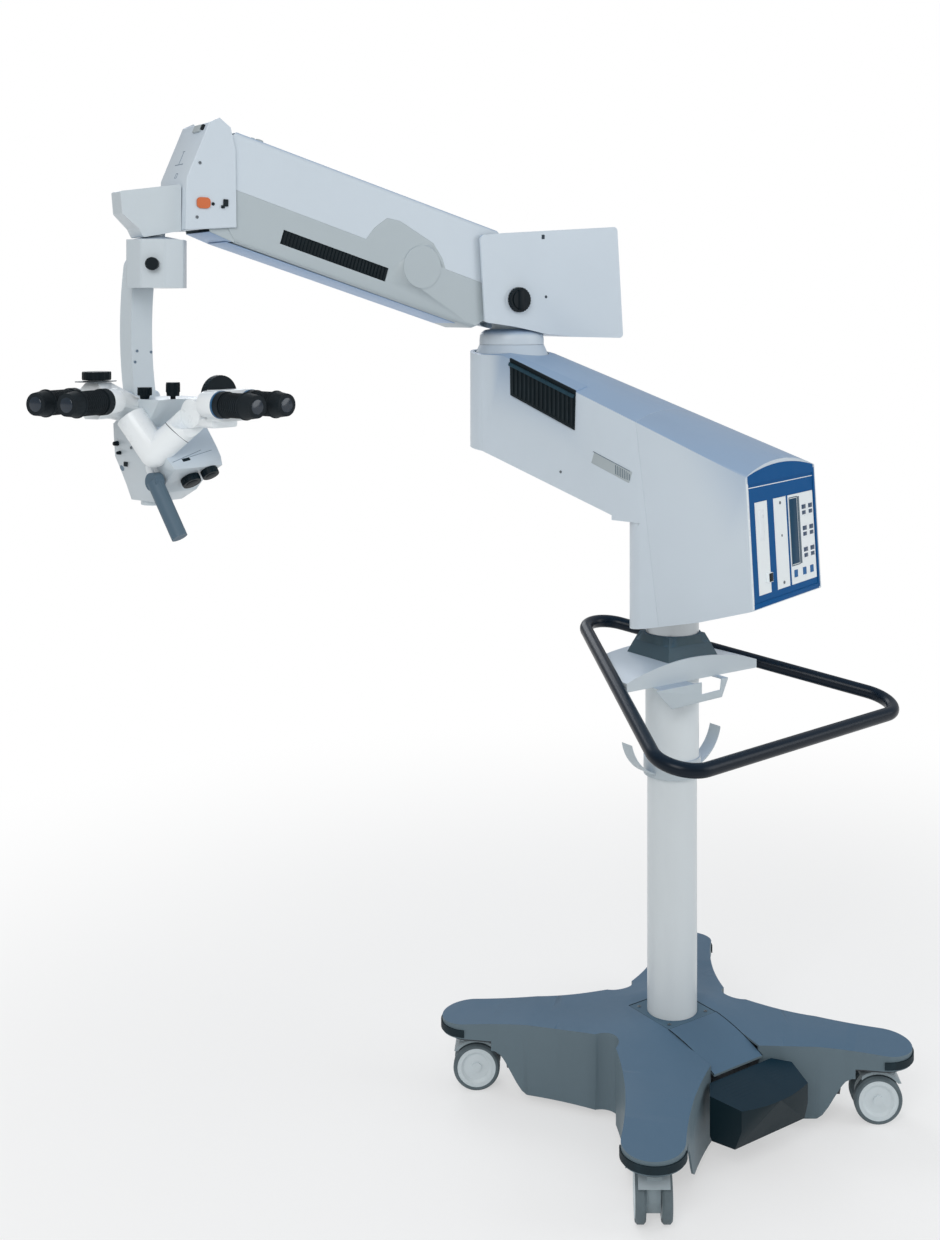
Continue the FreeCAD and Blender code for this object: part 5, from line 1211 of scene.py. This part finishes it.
def chin_knobs():
    out = Vector((0.0, -CHIN_DROP, -CHIN_RUN)).normalized()
    for name, (x, y), radius in CHIN_KNOBS:
        place = on_chin(x, y)
        flutes = bmesh.new()
        add_ribbed(flutes, place + out * 0.8, out, radius + 0.6, 12.4, 16, 1.6)
        add_round(flutes, place + out * 13.4, out, radius * 0.7, radius * 0.62, 1.6, 0.5)
        keep_piece(name + "_flutes", flutes, HEAD, name, finishes["knob_black"])


def upright_knobs():
    """Flutes of the two lock knobs on top and of the disc between the eyepieces."""
    for name, place, radius, height in LOCK_KNOBS:
        flutes = bmesh.new()
        add_ribbed(flutes, place, (0, 0, 1), radius, height, 12, 1.5)
        keep_piece(name + "_flutes", flutes, HEAD, name, finishes["knob_black"])
    disc = bmesh.new()
    add_ribbed(disc, DISC_PLACE, (0, 1, 0), DISC_RIM_RADIUS, 11.0, 36, 1.2)
    keep_piece("interpupillary_knob_flutes", disc, HEAD, "interpupillary_knob", finishes["knob_black"])


# Stand

HUB_CAP_SIDE = 31.6
HUB_CAP_RADIUS = 40.0
CONE_HALF = 57.6
SHOULDER_RADIUS = 61.0
SHOULDER_DROP = 18.0
SHOULDER_STEPS = 48
LARGE_RING_SEGMENTS = 64
PEDAL_SLOPE = 6.6
GROOVE_MIDDLE = (0.0, -290.0, 140.6)
GROOVE_SIZE = (176.0, 2.0, 0.8)
TREAD_HEIGHT = 147.3
TREAD_SIZE = (150.0, 2.2, 1.0)
TREAD_COUNT = 6
TREAD_START = -232.0
TREAD_PITCH = 9.0
TREAD_SLOPE = 0.116
FOOT_SCREW = 50.0
FOOT_SCREW_HEIGHT = 192.8
COLUMN_RING_HEIGHT = 736.5
COLUMN_RING_RADIUS = 57.0
SEAM_PROUD = 0.1
SEAM_THICK = 0.8


def castor_details():
    for name, (side_x, side_y, heading) in CASTORS.items():
        place = placed((side_x * CASTOR_REACH, side_y * CASTOR_REACH, 0), heading)
        caps = bmesh.new()
        for side in (-1, 1):
            centre = (CASTOR_TRAIL, side * HUB_CAP_SIDE, WHEEL_RADIUS)
            add_ring(caps, centre, (0, side, 0), HUB_CAP_RADIUS, 1.2, 0.8, LARGE_RING_SEGMENTS)
        keep_piece("castor_hub_caps_" + name, caps, place, "wheels_" + name, finishes["castor_grey"])


def pedal_details():
    groove = bmesh.new()
    slope = Matrix.Rotation(math.radians(PEDAL_SLOPE), 4, "X")
    add_box(groove, GROOVE_MIDDLE, GROOVE_SIZE, 0.2, slope)
    keep_piece("pedal_groove", groove, WORLD, "brake_pedal", finishes["cast"])
    treads = bmesh.new()
    for step in range(TREAD_COUNT):
        drop = step * TREAD_PITCH
        add_box(treads, (0, TREAD_START - drop, TREAD_HEIGHT - drop * TREAD_SLOPE), TREAD_SIZE, 0.4)
    keep_piece("pedal_treads", treads, WORLD, "brake_pedal", finishes["pedal_dark"])


def column_details():
    rings = bmesh.new()
    add_ring(rings, (0, 0, COLUMN_RING_HEIGHT), (0, 0, 1), COLUMN_RING_RADIUS, 2.0, 0.8,
             LARGE_RING_SEGMENTS)
    keep_piece("column_rings", rings, WORLD, "stand", finishes["column_paint"])
    screws = bmesh.new()
    for side_y in (-1, 1):
        for side_x in (-1, 1):
            add_screw(screws, (side_x * FOOT_SCREW, side_y * FOOT_SCREW, FOOT_SCREW_HEIGHT), (0, 0, 1), 4.0)
    keep_piece("stand_screws", screws, WORLD, "stand", screw_steel)


def cone_shoulder():
    """Dark shoulder that turns from the cone's square into the round seat of the collar."""
    top = max(vert.co.z for vert in nodes["cone_cover"].data.vertices) / MM
    square = []
    seat = []
    for index in range(SHOULDER_STEPS):
        angle = 2 * math.pi * (index + 0.5) / SHOULDER_STEPS
        across = Vector((math.cos(angle), math.sin(angle)))
        reach = CONE_HALF / max(abs(across.x), abs(across.y))
        square.append((across.x * reach, across.y * reach, top - SHOULDER_DROP))
        seat.append((across.x * SHOULDER_RADIUS, across.y * SHOULDER_RADIUS, top + 0.6))
    shoulder = bmesh.new()
    add_slab(shoulder, square, seat)
    keep_piece("cone_shoulder", shoulder, WORLD, "stand", finishes["dark_plate"])


def add_plate_seams(seams):
    """Joints along both sides of the front plate, which follow its slope."""
    plate = [vert.co / MM for vert in nodes["front_cover_plate"].data.vertices]
    for side in (-1, 1):
        edge = max(side * point.x for point in plate)
        heights = {}
        for point in plate:
            if side * point.x > edge - 0.6:
                key = round(point.y)
                heights[key] = max(heights.get(key, -1.0), point.z)
        line = [Vector((side * edge, y, heights[y] + SEAM_PROUD)) for y in sorted(heights)]
        for start, end in zip(line, line[1:]):
            length = (end - start).length
            if length > 2.0 and abs(end.z - start.z) < length * 0.9:
                add_bar(seams, start, end, (0, 0, 1), 1.8, SEAM_THICK)


def base_seams():
    """Dark joints round the front plate and the column's foot plate."""
    seams = bmesh.new()
    add_plate_seams(seams)
    foot = [vert.co / MM for vert in nodes["column_foot_plate"].data.vertices]
    high = max(point.z for point in foot)
    rim = [point for point in foot if point.z > high - 0.5]
    x_end = max(point.x for point in rim)
    y_end = max(point.y for point in rim)
    level = high + SEAM_PROUD
    corners = [(-x_end, -y_end, level), (x_end, -y_end, level), (x_end, y_end, level), (-x_end, y_end, level)]
    for start, end in zip(corners, corners[1:] + corners[:1]):
        add_bar(seams, start, end, (0, 0, 1), 2.2, SEAM_THICK)
    keep_piece("base_seams", seams, WORLD, "stand", slot_dark)


panel_keys()
display()
panel_lines()
panel_crest()
panel_strip_screws()
panel_door()
grip_block_ribs()
grip_block_edges()
side_vent()
arm_screws()
spring_arm_slot()
spring_arm_underside()
spring_arm_fittings()
front_side_fittings()
front_engraving()
front_top_fittings()
pivot_box_marks()
balance_knob_details()
neck_sleeve()
head_fittings()
head_marks()
grip_hub()
carrier_fittings()
main_eyepieces()
observer_details()
chin_knobs()
upright_knobs()
castor_details()
pedal_details()
column_details()
cone_shoulder()
base_seams()
softened("microscope_body", 3.0)
softened("main_binocular", 3.0)
softened("observer_tube", 2.0)
softened("accessory_bracket", 0.8)
for corner in CASTORS:
    softened("castor_fork_" + corner, 1.2)
softened("lower_arm_housing", 11.0, 3, least=2500.0)
softened("panel_end_cover", 11.0, 3, least=2500.0)
softened("pivot_box_shell", 7.0, 3, least=2000.0)
softened("spring_arm_upper_cover", 9.0, 3, least=2000.0)
softened("spring_arm_lower_cover", 8.0, 3, least=2000.0)
softened("front_housing", 5.0, 3, least=1500.0)
softened("base_cover", 9.0, 3, least=1500.0, lift=lift_skirt, plain=near_plates)
softened("carrier_arm", 7.0, 3, least=1200.0)


# Stage, light and camera

FLOOR_RADIUS = 40.0
FADE_MIDDLE = 1.9
FADE_HALF = 1.1
NEAR_WHITE = 0.52
SURROUND_LIGHT = 0.50


def floor_finish():
    """Pale floor that keeps the object's shadow near it and turns white further out."""
    recipe = Recipe("pale_floor")
    tree = recipe.tree
    path = tree.nodes.new("ShaderNodeLightPath")
    seen = Wire(recipe, path.outputs["Is Camera Ray"])
    glossy = Wire(recipe, path.outputs["Is Glossy Ray"])
    x, y = recipe.parts(recipe.position())[:2]
    reach = (x * x + y * y).maths("SQRT")
    far = reach.above(FADE_MIDDLE, FADE_HALF)
    share = (seen + glossy).maths("MINIMUM", 1.0) * (far * (1.0 - NEAR_WHITE) + NEAR_WHITE)
    diffuse = tree.nodes.new("ShaderNodeBsdfDiffuse")
    diffuse.inputs["Color"].default_value = (0.9, 0.91, 0.92, 1.0)
    white = tree.nodes.new("ShaderNodeEmission")
    mix = tree.nodes.new("ShaderNodeMixShader")
    tree.links.new(share.socket, mix.inputs[0])
    tree.links.new(diffuse.outputs[0], mix.inputs[1])
    tree.links.new(white.outputs[0], mix.inputs[2])
    output = tree.nodes.new("ShaderNodeOutputMaterial")
    tree.links.new(mix.outputs[0], output.inputs["Surface"])
    return recipe.material


def make_stage():
    bm = bmesh.new()
    bmesh.ops.create_circle(bm, cap_ends=True, segments=96, radius=FLOOR_RADIUS)
    mesh = bpy.data.meshes.new("floor")
    bm.to_mesh(mesh)
    bm.free()
    mesh.materials.append(floor_finish())
    floor = bpy.data.objects.new("floor", mesh)
    bpy.context.scene.collection.objects.link(floor)


def make_world():
    """White where it is seen directly or through glass, softer as a light on the object."""
    world = bpy.data.worlds.new("soft_surround")
    bpy.context.scene.world = world
    world.use_nodes = True
    tree = world.node_tree
    tree.nodes.clear()
    path = tree.nodes.new("ShaderNodeLightPath")
    total = tree.nodes.new("ShaderNodeMath")
    total.operation = "ADD"
    total.use_clamp = True
    tree.links.new(path.outputs["Is Camera Ray"], total.inputs[0])
    tree.links.new(path.outputs["Is Transmission Ray"], total.inputs[1])
    strength = tree.nodes.new("ShaderNodeMapRange")
    strength.inputs["To Min"].default_value = SURROUND_LIGHT
    strength.inputs["To Max"].default_value = 1.0
    tree.links.new(total.outputs[0], strength.inputs["Value"])
    background = tree.nodes.new("ShaderNodeBackground")
    background.inputs["Color"].default_value = (1.0, 1.0, 1.0, 1.0)
    tree.links.new(strength.outputs["Result"], background.inputs["Strength"])
    output = tree.nodes.new("ShaderNodeOutputWorld")
    tree.links.new(background.outputs[0], output.inputs["Surface"])


def make_lamp(name, place, target, size, power, colour=(1.0, 1.0, 1.0)):
    light = bpy.data.lights.new(name, "AREA")
    light.shape = "DISK"
    light.size = size
    light.energy = power
    light.color = colour
    lamp = bpy.data.objects.new(name, light)
    lamp.location = place
    lamp.rotation_euler = (Vector(target) - Vector(place)).to_track_quat("-Z", "Y").to_euler()
    bpy.context.scene.collection.objects.link(lamp)


def make_camera():
    """The photograph's viewpoint, level and shifted instead of tilted."""
    camera = bpy.data.cameras.new("camera")
    camera.lens = 43.03
    camera.sensor_width = 36.0
    camera.shift_x = -0.0726
    camera.shift_y = -0.25
    camera.clip_end = 200.0
    holder = bpy.data.objects.new("camera", camera)
    holder.location = (-2.0592, -2.4089, 1.683)
    holder.rotation_euler = (math.radians(90.0), 0.0, math.radians(-36.2))
    bpy.context.scene.collection.objects.link(holder)
    bpy.context.scene.camera = holder


make_stage()
make_world()
make_lamp("key_light", (-3.4, -2.6, 3.6), (-0.3, 0.1, 1.0), 2.6, 74.0)
make_lamp("fill_light", (2.8, -3.0, 2.4), (0.0, 0.0, 0.9), 2.6, 40.0, (0.94, 0.97, 1.0))
make_lamp("back_light", (0.6, 3.6, 3.2), (-0.4, 0.2, 1.2), 2.4, 34.0, (0.94, 0.97, 1.0))
make_camera()
bpy.context.scene.view_settings.view_transform = "Standard"
